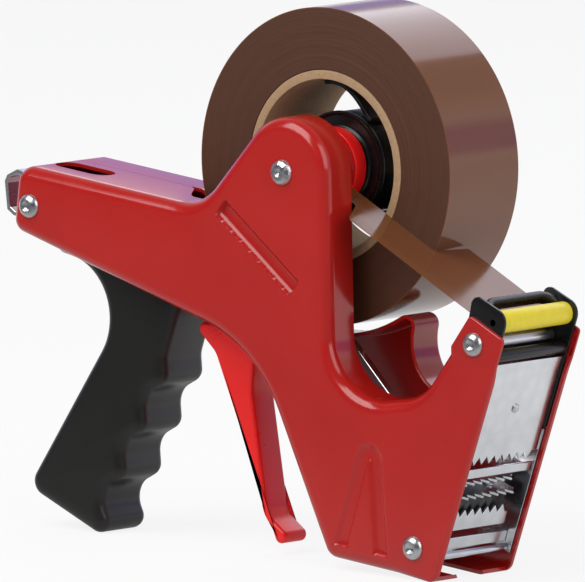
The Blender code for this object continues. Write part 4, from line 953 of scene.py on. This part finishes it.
def obround(length, width):
    half = width / 2
    reach = length / 2 - half
    return [p for p, _ in belt([(reach, 0, half, 1), (-reach, 0, half, 1)], arc_step=ARC_STEP * 2)]


def walled(name, bm, body, nodes):
    mesh = mesh_of(bm, name, closed=False)
    thing = finished(name, mesh, RED, body, nodes)
    wall = thing.modifiers.new("sheet", "SOLIDIFY")
    wall.thickness = SHEET
    wall.offset = -1
    wall.use_even_offset = True
    return thing


def make_shells():
    reach = GROOVE_WIDTH
    groove_low = (GROOVE_REAR.x - reach, GROOVE_FRONT.y - reach)
    groove_high = (GROOVE_FRONT.x + reach, GROOVE_REAR.y + reach)
    side = RIB_WIDTH / 2 + RIB_BAND
    rib_low = (RIB_FOOT_X - side, BOTTOM_Z + NEAR_FILLET * 1.05)
    rib_high = (RIB_FOOT_X + side, BOTTOM_Z + NEAR_FILLET + RIB_HEIGHT + RIB_BAND)
    pressings = (
        (groove_low, groove_high, GROOVE_GRID, groove_depth),
        (rib_low, rib_high, RIB_GRID, rib_depth),
    )
    near = walled(
        "near_side_pressing", shell_skin(near_outline(), 0, 1, NEAR_FILLET, ARM_FLANGE, pressings),
        "frame", ["near_side_shell"])
    slot_points = [(p.x + SLOT_CENTRE_X, p.y + SLOT_CENTRE_Y) for p in obround(SLOT_LENGTH, SLOT_WIDTH)]
    cutters = [tool("arm_slot", level(slot_points, ARM_TOP + OVERRUN, OVERRUN * 2))]
    rear_x, front_x = -TAIL_REACH - OVERRUN, -TAIL_REACH + OVERRUN
    low_y, high_y = STRAP_NEAR_Y - GAP, STRAP_NEAR_Y + STRAP_WIDTH + GAP
    points = [(rear_x, low_y), (front_x, low_y), (front_x, high_y), (rear_x, high_y)]
    slit = STRAP_THICK + GAP * 2
    for index, z in enumerate((STRAP_TOP_Z, STRAP_FOOT_Z)):
        cutters.append(tool(f"strap_slit_{index}", level(points, z + slit / 2, slit)))
    carve(near, cutters)
    rounded(near)
    far = walled(
        "far_side_pressing", shell_skin(far_outline(), BODY_WIDTH, -1, FAR_FILLET, FLANGE),
        "frame", ["far_side_shell"])
    settled(far)
    rounded(far)


class GeoTree:
    # A geometry node group with named sizes
    def __init__(self, name, sizes):
        self.tree = bpy.data.node_groups.new(name, "GeometryNodeTree")
        face = self.tree.interface
        face.new_socket("Geometry", in_out="INPUT", socket_type="NodeSocketGeometry")
        self.sockets = {
            size: face.new_socket(size, in_out="INPUT", socket_type=kind) for size, kind in sizes.items()
        }
        face.new_socket("Geometry", in_out="OUTPUT", socket_type="NodeSocketGeometry")
        self.sizes = self.tree.nodes.new("NodeGroupInput").outputs

    def make(self, kind, values, out=0):
        return add_node(self.tree, "GeometryNode" + kind, None, values).outputs[out]

    def close(self, geometry):
        whole = self.make("RealizeInstances", {"Geometry": geometry})
        painted = self.make("SetMaterial", {"Geometry": whole, "Material": self.sizes["Finish"]})
        add_node(self.tree, "NodeGroupOutput", None, {0: painted})

    def grow(self, name, points, finish, values, nodes):
        # Runs the tree on a few points and keeps the result as a plain mesh
        seed = in_scene(name + "_seed", points)
        step = seed.modifiers.new("grow", "NODES")
        step.node_group = self.tree
        for size, value in dict(values, Finish=finish).items():
            step[self.sockets[size].identifier] = value
        mesh = evaluated(seed)
        bpy.data.objects.remove(seed, do_unlink=True)
        bm = bmesh.new()
        bm.from_mesh(mesh)
        return finished(name, mesh_of(bm, name), finish, "frame", nodes)


def rivet_tree():
    # One domed head on each point
    tree = GeoTree("rivet_heads", {
        "Head": "NodeSocketObject", "Spread": "NodeSocketFloat", "Finish": "NodeSocketMaterial"})
    head = tree.make("ObjectInfo", {"Object": tree.sizes["Head"]}, out=4)
    tree.close(tree.make("InstanceOnPoints", {
        "Points": tree.sizes["Geometry"], "Instance": head, "Scale": tree.sizes["Spread"]}))
    return tree


def head_profile(radius, outward):
    # From the shank over the collar's edge and the dome into the dimple
    shares = (
        (0.45, -0.10), (1.0, -0.10), (1.0, 0.06), (0.985, 0.20), (0.93, 0.42), (0.84, 0.62), (0.74, 0.78),
        (0.64, 0.90), (0.56, 0.97), (0.50, 1.0), (0.44, 0.97), (0.38, 0.86), (0.30, 0.68), (0.20, 0.56),
        (0.10, 0.50), (0.0, 0.49),
    )
    points = [(radius * across, outward * RIVET_RISE * up) for across, up in shares]
    return [(0, points[0][1])] + points


def make_rivets():
    tree = rivet_tree()
    seats = {"tail": TAIL_RIVET, "upper": UPPER_RIVET, "lower": LOWER_RIVET}
    for side, outward, seat_y in (("near", -1, 0.0), ("far", 1, BODY_WIDTH)):
        dome = tool(side + "_dome", turned(head_profile(RIVET_HEAD, outward), SMALL_SEGMENTS), Matrix())
        points = bpy.data.meshes.new(side + "_seats")
        points.from_pydata([(seat.x, seat_y, seat.y) for seat in seats.values()], [], [])
        nodes = [name + "_rivet" for name in seats] if side == "near" else []
        tree.grow(side + "_rivet_heads", points, RIVET, {"Head": dome, "Spread": 1.0}, nodes)
        bpy.data.objects.remove(dome, do_unlink=True)
    for name, seat in seats.items():
        shank = turned(bar_profile(RIVET_SHANK, GAP, BODY_WIDTH - GAP), SMALL_SEGMENTS, seat.x, seat.y)
        finished(name + "_rivet_shank", mesh_of(shank, name), RIVET, "frame")
    head = turned(head_profile(AXLE_HEAD, -1), SMALL_SEGMENTS)
    finished("axle_rivet_head", mesh_of(head, "axle_head"), RIVET, "frame")


def make_knob():
    lip = KNOB_LENGTH / 5
    profile = [
        (KNOB_ROUND, KNOB_FAR_Y), (KNOB_ROUND, KNOB_NEAR_Y), (KNOB_ROUND - lip * 1.6, KNOB_NEAR_Y),
        (KNOB_ROUND - lip * 1.9, KNOB_NEAR_Y + lip), (SLEEVE_ROUND + lip, KNOB_NEAR_Y + lip),
        (SLEEVE_ROUND, KNOB_NEAR_Y), (AXLE_BORE, KNOB_NEAR_Y), (AXLE_BORE, KNOB_FAR_Y),
    ]
    turned_piece(
        "tension_knob_moulding", profile, KNOB_EDGE, RED_PLASTIC, "knob", ["tension_knob"], steps=5)


def make_hub():
    near_y, far_y = HUB_FLANGE_NEAR_Y, HUB_FLANGE_NEAR_Y + HUB_FLANGE_THICK
    rim = HUB_FLANGE_THICK / 3
    profile = [
        (HUB_FLANGE_ROUND, far_y), (HUB_FLANGE_ROUND, near_y), (HUB_FLANGE_ROUND - rim, near_y),
        (HUB_FLANGE_ROUND - rim * 2, near_y + rim), (KNOB_ROUND, near_y + rim),
        (KNOB_ROUND - rim, near_y), (AXLE_BORE, near_y), (AXLE_BORE, far_y),
    ]
    turned_piece("hub_flange_disc", profile, HUB_EDGE, BLACK, "hub", ["hub_flange"])
    web_near = (DRUM_NEAR_Y + DRUM_FAR_Y - DRUM_WEB) / 2
    web_far = web_near + DRUM_WEB
    inner = DRUM_ROUND - DRUM_WALL
    profile = [
        (DRUM_ROUND, DRUM_FAR_Y), (DRUM_ROUND, DRUM_NEAR_Y), (inner, DRUM_NEAR_Y), (inner, web_near),
        (HUB_BORE_ROUND, web_near), (HUB_BORE_ROUND, DRUM_NEAR_Y), (AXLE_BORE, DRUM_NEAR_Y),
        (AXLE_BORE, DRUM_FAR_Y), (HUB_BORE_ROUND, DRUM_FAR_Y), (HUB_BORE_ROUND, web_far),
        (inner, web_far), (inner, DRUM_FAR_Y),
    ]
    turned_piece("hub_drum_moulding", profile, HUB_EDGE, BLACK, "hub", ["hub_drum"])
    profile = ring_profile(CAP_ROUND, AXLE_BORE, CAP_FAR_Y - CAP_THICK, CAP_FAR_Y)
    turned_piece("hub_cap_disc", profile, CAP_EDGE, BLACK, "hub", ["hub_end_cap"])
    make_fins((DRUM_NEAR_Y + DRUM_FAR_Y - FIN_LENGTH) / 2)


def make_fins(near_y):
    # Curved leaves that rise from the drum and press on the core
    inside = DRUM_ROUND + GAP
    outside = CORE_BORE_ROUND - GAP
    for number in range(FIN_COUNT):
        start = 2 * math.pi * (number + 0.5) / FIN_COUNT
        back, front = [], []
        for step in range(FIN_STEPS + 1):
            share = step / FIN_STEPS
            angle = start + FIN_SWEEP * share
            inner = inside + (outside - inside - FIN_THICK) * eased(share)
            for line, radius in ((back, min(inner + FIN_THICK, outside)), (front, inner)):
                line.append((radius * math.cos(angle), radius * math.sin(angle)))
        name = f"hub_leaf_{number + 1}"
        leaf = mesh_of(flat(front + back[::-1], near_y, FIN_LENGTH), name)
        rounded(finished(name, leaf, BLACK, "hub", [f"hub_fin_{number + 1}"]), FIN_EDGE, 3)


def make_roll():
    # The wound tape: its sides are the edges of many turns, none quite flush
    far_y = ROLL_NEAR_Y + TAPE_WIDTH
    core_round = CORE_BORE_ROUND + CORE_WALL
    chance = random.Random(ROLL_SEED)
    inner = core_round + GAP
    near_side, far_side = [], []
    for number in range(ROLL_TURNS + 1):
        radius = inner + (ROLL_ROUND - inner) / ROLL_TURNS * number
        proud = TURN_PROUD * chance.random() if 0 < number < ROLL_TURNS else ROLL_SINK
        near_side.append((radius, ROLL_NEAR_Y + proud))
        far_side.append((radius, far_y - TURN_PROUD * chance.random()))
    film = mesh_of(turned(far_side[::-1] + near_side, ROLL_SEGMENTS), "roll")
    finished("wound_tape_roll", film, WOUND, "hub", ["wound_tape"])
    profile = ring_profile(core_round, CORE_BORE_ROUND, ROLL_NEAR_Y, far_y)
    turned_piece("card_core", profile, HUB_EDGE, CARD, "hub", ["tape_core"])


def make_strip():
    # The free film, from beside the axle to the back of the roller, with a slight wave
    roller = from_front_plane(-ROLLER_BACK, ROLLER_UP)
    reach = ROLLER_ROUND + GAP
    end = roller - Vector((math.cos(STRIP_MEETS_ROLLER), math.sin(STRIP_MEETS_ROLLER))) * reach
    along = end.normalized()
    start = along * (SLEEVE_ROUND + GAP)
    length = (end - start).length
    turn = ROLL_ROUND + GAP * 2 - start.length
    hump = HUMP_ROUND + NEAR_FILLET - start.length
    bm = bmesh.new()
    grid = []
    for row in range(STRIP_ROWS + 1):
        run = length * row / STRIP_ROWS
        near = between(FLANGE + GAP, HEAD_MARGIN, (run - hump) / STRIP_TAPER)
        far = ROLL_NEAR_Y - GAP if run < turn else HEAD_MARGIN + TAPE_WIDTH
        place = start + along * run
        line = []
        for column in range(STRIP_COLUMNS + 1):
            share = column / STRIP_COLUMNS
            lift = STRIP_WAVE * math.sin(run * STRIP_WAVES) * (share - STRIP_STILL_SHARE)
            line.append(bm.verts.new((place.x, near + (far - near) * share, place.y + lift)))
        grid.append(line)
    bridge(bm, grid, closed=False)
    bmesh.ops.recalc_face_normals(bm, faces=bm.faces)
    strip = finished("free_tape_film", mesh_of(bm, "strip", closed=False), FILM, "frame", ["tape_strip"])
    wall = strip.modifiers.new("film", "SOLIDIFY")
    wall.thickness = STRIP_THICK
    wall.offset = 0
    settled(strip)


def in_head(back, up, y=0.0):
    return HEAD @ Matrix.Translation((-back, y, up))


def liner_outline():
    foot_x = -LINER_SETBACK - LINER_FOOT_ROUND
    foot_z = -LINER_FOOT + LINER_FOOT_ROUND
    nose = ROLLER_BACK - LINER_SETBACK
    return [
        (foot_x - LINER_FOOT_DEPTH, foot_z, LINER_FOOT_ROUND, 1),
        (foot_x, foot_z, LINER_FOOT_ROUND, 1),
        (-ROLLER_BACK, ROLLER_UP, nose, 1),
        (-GUARD_BACK, GUARD_UP, GUARD_CHEEK, 1),
    ]


def make_head():
    near_y = SHEET + GAP
    far_y = BODY_WIDTH - near_y
    for label, low_y in (("near", near_y), ("far", far_y - LINER_THICK)):
        cheek = slab(liner_outline(), low_y, LINER_THICK, GAP, 3)
        nodes = ["roller_bracket"] if label == "near" else []
        finished(label + "_cheek", mesh_of(cheek, label, HEAD), BLACK, "frame", nodes)
    make_guard(near_y, far_y)
    inner_near = near_y + LINER_THICK + GAP
    inner_far = BODY_WIDTH - inner_near
    edge = ROLLER_ROUND / 6
    bore = ROLLER_PIN_ROUND + GAP
    profile = [
        (ROLLER_ROUND, inner_far), (ROLLER_ROUND, inner_near), (ROLLER_ROUND - edge, inner_near),
        (bore, inner_near + edge), (bore, inner_far - edge), (ROLLER_ROUND - edge, inner_far),
    ]
    turned_piece(
        "roller_sleeve", profile, edge, YELLOW, "roller", ["application_roller"],
        in_head(ROLLER_BACK, ROLLER_UP), SMALL_SEGMENTS * 2)
    turned_piece(
        "tape_guide_bar", bar_profile(GUIDE_ROUND, inner_near, inner_far), BAR_EDGE, BLACK, "frame",
        ["guide_bar"], in_head(GUIDE_BACK, -GUIDE_DOWN), SMALL_SEGMENTS)


def make_guard(near_y, far_y):
    # A bent bar over the back of the roller, whose round corners turn into the cheeks
    back = Vector((-GUARD_BACK, 0, GUARD_UP))
    toward = (Vector((-ROLLER_BACK, 0, ROLLER_UP)) - back).normalized()
    across = Vector((-toward.z, 0, toward.x))
    inset = GUARD_ROUND * GUARD_INSET_SHARE + GUARD_CORNER
    path = []
    for centre_y, side in ((far_y - inset, 1), (near_y + inset, -1)):
        for step in range(GUARD_STEPS + 1):
            share = step / GUARD_STEPS
            turn = math.pi / 2 * (1 - share if side > 0 else share)
            place = back + toward * GUARD_CORNER * (1 - math.cos(turn))
            path.append(place + Vector((0, centre_y + side * GUARD_CORNER * math.sin(turn), 0)))
    path = [path[0] + toward * GUARD_CORNER] + path + [path[-1] + toward * GUARD_CORNER]
    bm = bmesh.new()
    rings = []
    for index, point in enumerate(path):
        heading = path[min(index + 1, len(path) - 1)] - path[max(index - 1, 0)]
        outward = heading.cross(across).normalized()
        ring = []
        for step in range(GUARD_SEGMENTS):
            turn = 2 * math.pi * step / GUARD_SEGMENTS
            wide, high = math.cos(turn), math.sin(turn)
            bulge = GUARD_ROUND * (abs(wide) ** 4 + abs(high) ** 4) ** -0.25
            ring.append(bm.verts.new(
                point + outward * wide * bulge * GUARD_WIDE_SHARE + across * high * bulge * GUARD_HIGH_SHARE))
        rings.append(ring)
    finished("roller_guard", mesh_of(capped(bm, rings), "guard", HEAD), BLACK, "frame")


def grip_outline():
    down = Vector((-math.sin(GRIP_SLOPE), -math.cos(GRIP_SLOPE)))
    out = Vector((-down.y, down.x))
    circles = [(GRIP_TOE_X, GRIP_FOOT_Z + GRIP_TOE_ROUND, GRIP_TOE_ROUND, 1)]
    for number in reversed(range(FINGER_COUNT)):
        hollow = KNUCKLE_TOP + down * KNUCKLE_PITCH * (number - 0.5) + out * (HOLLOW_ROUND - HOLLOW_DEPTH)
        knuckle = KNUCKLE_TOP + down * KNUCKLE_PITCH * number - out * KNUCKLE_ROUND
        if number < FINGER_COUNT - 1:
            circles.append((knuckle.x, knuckle.y, KNUCKLE_ROUND, 1))
        circles.append((hollow.x, hollow.y, HOLLOW_ROUND, -1))
    circles.append((GRIP_NECK_X - KNUCKLE_ROUND, GRIP_NECK_Z, KNUCKLE_ROUND, 1))
    circles.append((WEB_X - KNUCKLE_ROUND / 3, GRIP_HORN_Z, KNUCKLE_ROUND, 1))
    circles.append((WEB_X, WEB_Z, WEB_ROUND, -1))
    circles.append((GRIP_HEEL_ROUND - GRIP_REACH, GRIP_HEEL_Z, GRIP_HEEL_ROUND, 1))
    return circles


def arm_floor(x):
    # Height of the arm's underside, on its straight run
    outline = belt(near_outline(), TAIL_REACH)
    for (one, _), (other, _) in zip(outline, outline[1:]):
        if one.x < -FAR_ARC_ROUND and other.x > one.x and one.y < ARM_TOP - TAIL_ROUND * 2:
            if one.x <= x <= other.x:
                return one.y + (other.y - one.y) * (x - one.x) / (other.x - one.x)
    return ARM_TOP


def make_grip():
    stock = mesh_of(slab(grip_outline(), GRIP_NEAR_Y, GRIP_THICK, GRIP_FILLET), "grip")
    grip = finished("pistol_grip", stock, GRIP, "frame", ["handle_grip"])
    left, right = -TAIL_REACH, BELLY_X
    one, other = FLANK_X - FAR_ARC_ROUND * 0.9, FLANK_X - FLANK_ROUND
    slope = (arm_floor(other) - arm_floor(one)) / (other - one)
    base = arm_floor(other)
    low = [(x, base + (x - other) * slope - GAP) for x in (left, right)]
    high = [(x, z + TAIL_REACH / 2) for x, z in reversed(low)]
    carve(grip, [tool("arm_line", flat(low + high, -OVERRUN, BODY_WIDTH + OVERRUN * 2))])
    rounded(grip, GRIP_EDGE)


def make_trigger():
    # A finger lever, and the lever plate inside the body
    reach, foot = TRIGGER_REACH, TRIGGER_FOOT_Z
    blade_share_rows = (
        (0.018, 0.9820, 0.0560, 1), (0.060, 0.8850, 0.2200, -1), (0.000, 0.6000, 0.4000, -1),
        (-0.500, 0.4830, 0.0900, 1), (-0.930, 0.4870, 0.0560, 1), (-0.955, 0.5860, 0.2000, -1),
    )
    circles = [(x * reach, z * foot, radius * reach, turn) for x, z, radius, turn in blade_share_rows]
    finger = mesh_of(slab(circles, TRIGGER_NEAR_Y, TRIGGER_WIDTH, TRIGGER_FILLET), "trigger")
    trigger = finished("trigger_moulding", finger, RED_PLASTIC, "trigger_lever", ["trigger"])
    across, down, radius = LEVER_ROOT_SHARES
    lever = slab([
        (PIVOT_X, PIVOT_Z, LEVER_BOSS, 1), (LEVER_TIP_X, LEVER_TIP_Z, LEVER_TIP_ROUND, 1),
        (across * reach, down * foot, radius * reach, 1),
    ], TRIGGER_NEAR_Y + LEVER_INSET, LEVER_THICK - LEVER_INSET, GAP * 2, 3)
    carve(trigger, [tool("lever", lever)], "UNION")
    pin = turned(bar_profile(PIVOT_ROUND + GAP, 0, BODY_WIDTH), SMALL_SEGMENTS, PIVOT_X, PIVOT_Z)
    carve(trigger, [tool("pin_bore", pin)])
    rounded(trigger, TRIGGER_EDGE)


def dressed(node, finish, body, width):
    # A copy of a CAD piece, with clean faces and round edges, that stands for it
    bm = bmesh.new()
    bm.from_mesh(frame["nodes"][node].data)
    bmesh.ops.remove_doubles(bm, verts=bm.verts, dist=MERGE)
    bmesh.ops.dissolve_limit(bm, angle_limit=FLAT_ANGLE, verts=bm.verts, edges=bm.edges)
    mesh = bpy.data.meshes.new(node)
    bm.to_mesh(mesh)
    bm.free()
    rounded(finished(node + "_piece", mesh, finish, body, [node]), width)


def dress_sheet_metal():
    for finish, body, pieces in DRESSED_PIECES:
        for node, width in pieces.items():
            dressed(node, finish, body, width)
    near_y = SHEET + GAP * 2 + PLATE_THICK
    turned_piece(
        "head_bottom_rod", bar_profile(ROD_ROUND, near_y, BODY_WIDTH - near_y), BAR_EDGE, ZINC, "frame",
        ["bottom_rod"], in_head(ROD_BACK, -ROD_DOWN), SMALL_SEGMENTS)
    shares = ((0, 1), (0.3, 0.98), (0.6, 0.88), (0.85, 0.6), (1, 0.25), (1, 0), (0, 0))
    button = turned([(BUTTON_ROUND * across, BUTTON_RISE * up) for across, up in shares], SMALL_SEGMENTS)
    place = in_head(PLATE_BACK - GAP / 3, -BUTTON_DOWN, BODY_WIDTH / 2)
    place = place @ Matrix.Rotation(-math.pi / 2, 4, "Z")
    finished("plate_button", mesh_of(button, "button", place), RIVET, "frame", ["plate_rivet"])


def paint_the_rest():
    # CAD pieces whose shape is right keep it and get their finish
    finishes = {
        ZINC: ("tail_spacer", "upper_spacer", "lower_spacer", "axle_sleeve", "brake_washer", "axle_nut",
               "roller_pin", "trigger_pin", "trigger_spring", "handle_clamp_plate", "handle_screw_1",
               "handle_screw_2", "blade_screw_1", "blade_screw_2"),
        RIVET: ("hub_axle",),
    }
    for finish, nodes in finishes.items():
        for node in nodes:
            thing = frame["nodes"][node]
            thing.data.materials.clear()
            thing.data.materials.append(finish)


def toward(azimuth, elevation):
    # Direction from the object to a place round it
    return Vector((
        math.sin(azimuth) * math.cos(elevation), -math.cos(azimuth) * math.cos(elevation),
        math.sin(elevation)))


def aim_camera():
    back = toward(CAMERA_AZIMUTH, CAMERA_ELEVATION)
    level_right = Vector((math.cos(CAMERA_AZIMUTH), math.sin(CAMERA_AZIMUTH), 0))
    right = Matrix.Rotation(CAMERA_ROLL, 3, back) @ level_right
    up = back.cross(right)
    camera = in_scene("camera", bpy.data.cameras.new("camera"))
    camera.data.sensor_width = SENSOR_WIDE
    camera.data.lens = FOCAL_PIXELS * SENSOR_WIDE / PICTURE_WIDE
    camera.data.clip_end = CAMERA_AWAY * 5
    camera.rotation_mode = "QUATERNION"
    camera.rotation_quaternion = Matrix((right, up, back)).transposed().to_quaternion()
    camera.location = BODY.translation + right * CAMERA_ASIDE - up * CAMERA_BELOW + back * CAMERA_AWAY
    bpy.context.scene.camera = camera


def lamp(name, azimuth, elevation, away, wide, high, power, colour):
    back = toward(math.radians(azimuth), math.radians(elevation))
    data = bpy.data.lights.new(name, "AREA")
    data.shape = "RECTANGLE"
    data.size, data.size_y = wide, high
    data.energy = power
    data.color = colour
    thing = in_scene(name, data)
    thing.location = back * away + Vector((0, 0, LAMP_AIM_UP))
    thing.rotation_mode = "QUATERNION"
    thing.rotation_quaternion = back.to_track_quat("Z", "Y")
    thing.visible_camera = False


def room_nodes(tree, coordinates, spread):
    # What a ray is, the place that it meets, and how bright the room is there: full
    # strength on the far side of the object, dark on the near side
    ray = add_node(tree, "ShaderNodeLightPath").outputs
    spot = add_node(tree, "ShaderNodeTexCoord").outputs[coordinates]
    place = add_node(tree, "ShaderNodeSeparateXYZ", None, {0: spot}).outputs
    fade = add_node(tree, "ShaderNodeMapRange", None, {
        "Value": place["Y"], "From Min": -spread, "From Max": spread, "To Min": NEAR_ROOM})
    return ray, place, fade.outputs[0]


def larger(tree, one, other):
    return add_node(tree, "ShaderNodeMath", {"operation": "MAXIMUM"}, {0: one, 1: other}).outputs[0]


def mixed(tree, share, first, second):
    return add_node(tree, "ShaderNodeMixShader", None, {0: share, 1: first, 2: second}).outputs[0]


def background(tree, colour, strength):
    return add_node(tree, "ShaderNodeBackground", None, {"Color": colour, "Strength": strength}).outputs[0]


def light_stage():
    # Three panels, and a white room that gloss sees as bands of lavender and grey
    for row in LAMPS:
        lamp(*row)
    world = bpy.data.worlds.new("studio")
    bpy.context.scene.world = world
    world.use_nodes = True
    tree = world.node_tree
    tree.nodes.clear()
    ray, place, strength = room_nodes(tree, "Generated", SKY_SPREAD)
    band = add_node(tree, "ShaderNodeValToRGB", None, {"Fac": place["Z"]}, SKY_BANDS).outputs["Color"]
    lit = mixed(
        tree, ray["Is Glossy Ray"], background(tree, WHITE, SKY_LIGHT), background(tree, band, strength))
    clear = larger(tree, ray["Is Camera Ray"], ray["Is Transmission Ray"])
    whole = mixed(tree, clear, lit, background(tree, WHITE, 1.0))
    add_node(tree, "ShaderNodeOutputWorld", None, {0: whole})


def lay_floor():
    # A pale floor that takes the shadow, and glows for the camera and in the gloss
    bm = bmesh.new()
    bmesh.ops.create_grid(bm, x_segments=1, y_segments=1, size=FLOOR_REACH)
    mesh = mesh_of(bm, "floor", Matrix(), closed=False)
    floor = in_scene("floor", mesh)
    material = bpy.data.materials.new("pale_floor")
    material.use_nodes = True
    mesh.materials.append(material)
    tree = material.node_tree
    shader = tree.nodes["Principled BSDF"]
    shader.inputs["Base Color"].default_value = (FLOOR_TONE, FLOOR_TONE, FLOOR_TONE, 1)
    shader.inputs["Roughness"].default_value = FLOOR_ROUGHNESS
    ray, _, strength = room_nodes(tree, "Object", FLOOR_SPREAD)
    bright = larger(tree, strength, ray["Is Camera Ray"])
    glow = add_node(tree, "ShaderNodeEmission", None, {"Strength": bright}).outputs[0]
    seen = larger(tree, ray["Is Camera Ray"], ray["Is Glossy Ray"])
    share = add_node(tree, "ShaderNodeMath", {"operation": "MULTIPLY"}, {0: seen, 1: FLOOR_GLOW}).outputs[0]
    feed(tree, tree.nodes["Material Output"].inputs[0], mixed(tree, share, shader.outputs[0], glow))


aim_camera()
make_shells()
make_rivets()
make_knob()
make_hub()
make_roll()
make_strip()
make_head()
make_grip()
make_trigger()
dress_sheet_metal()
paint_the_rest()
light_stage()
lay_floor()
bpy.context.scene.view_settings.view_transform = "Standard"
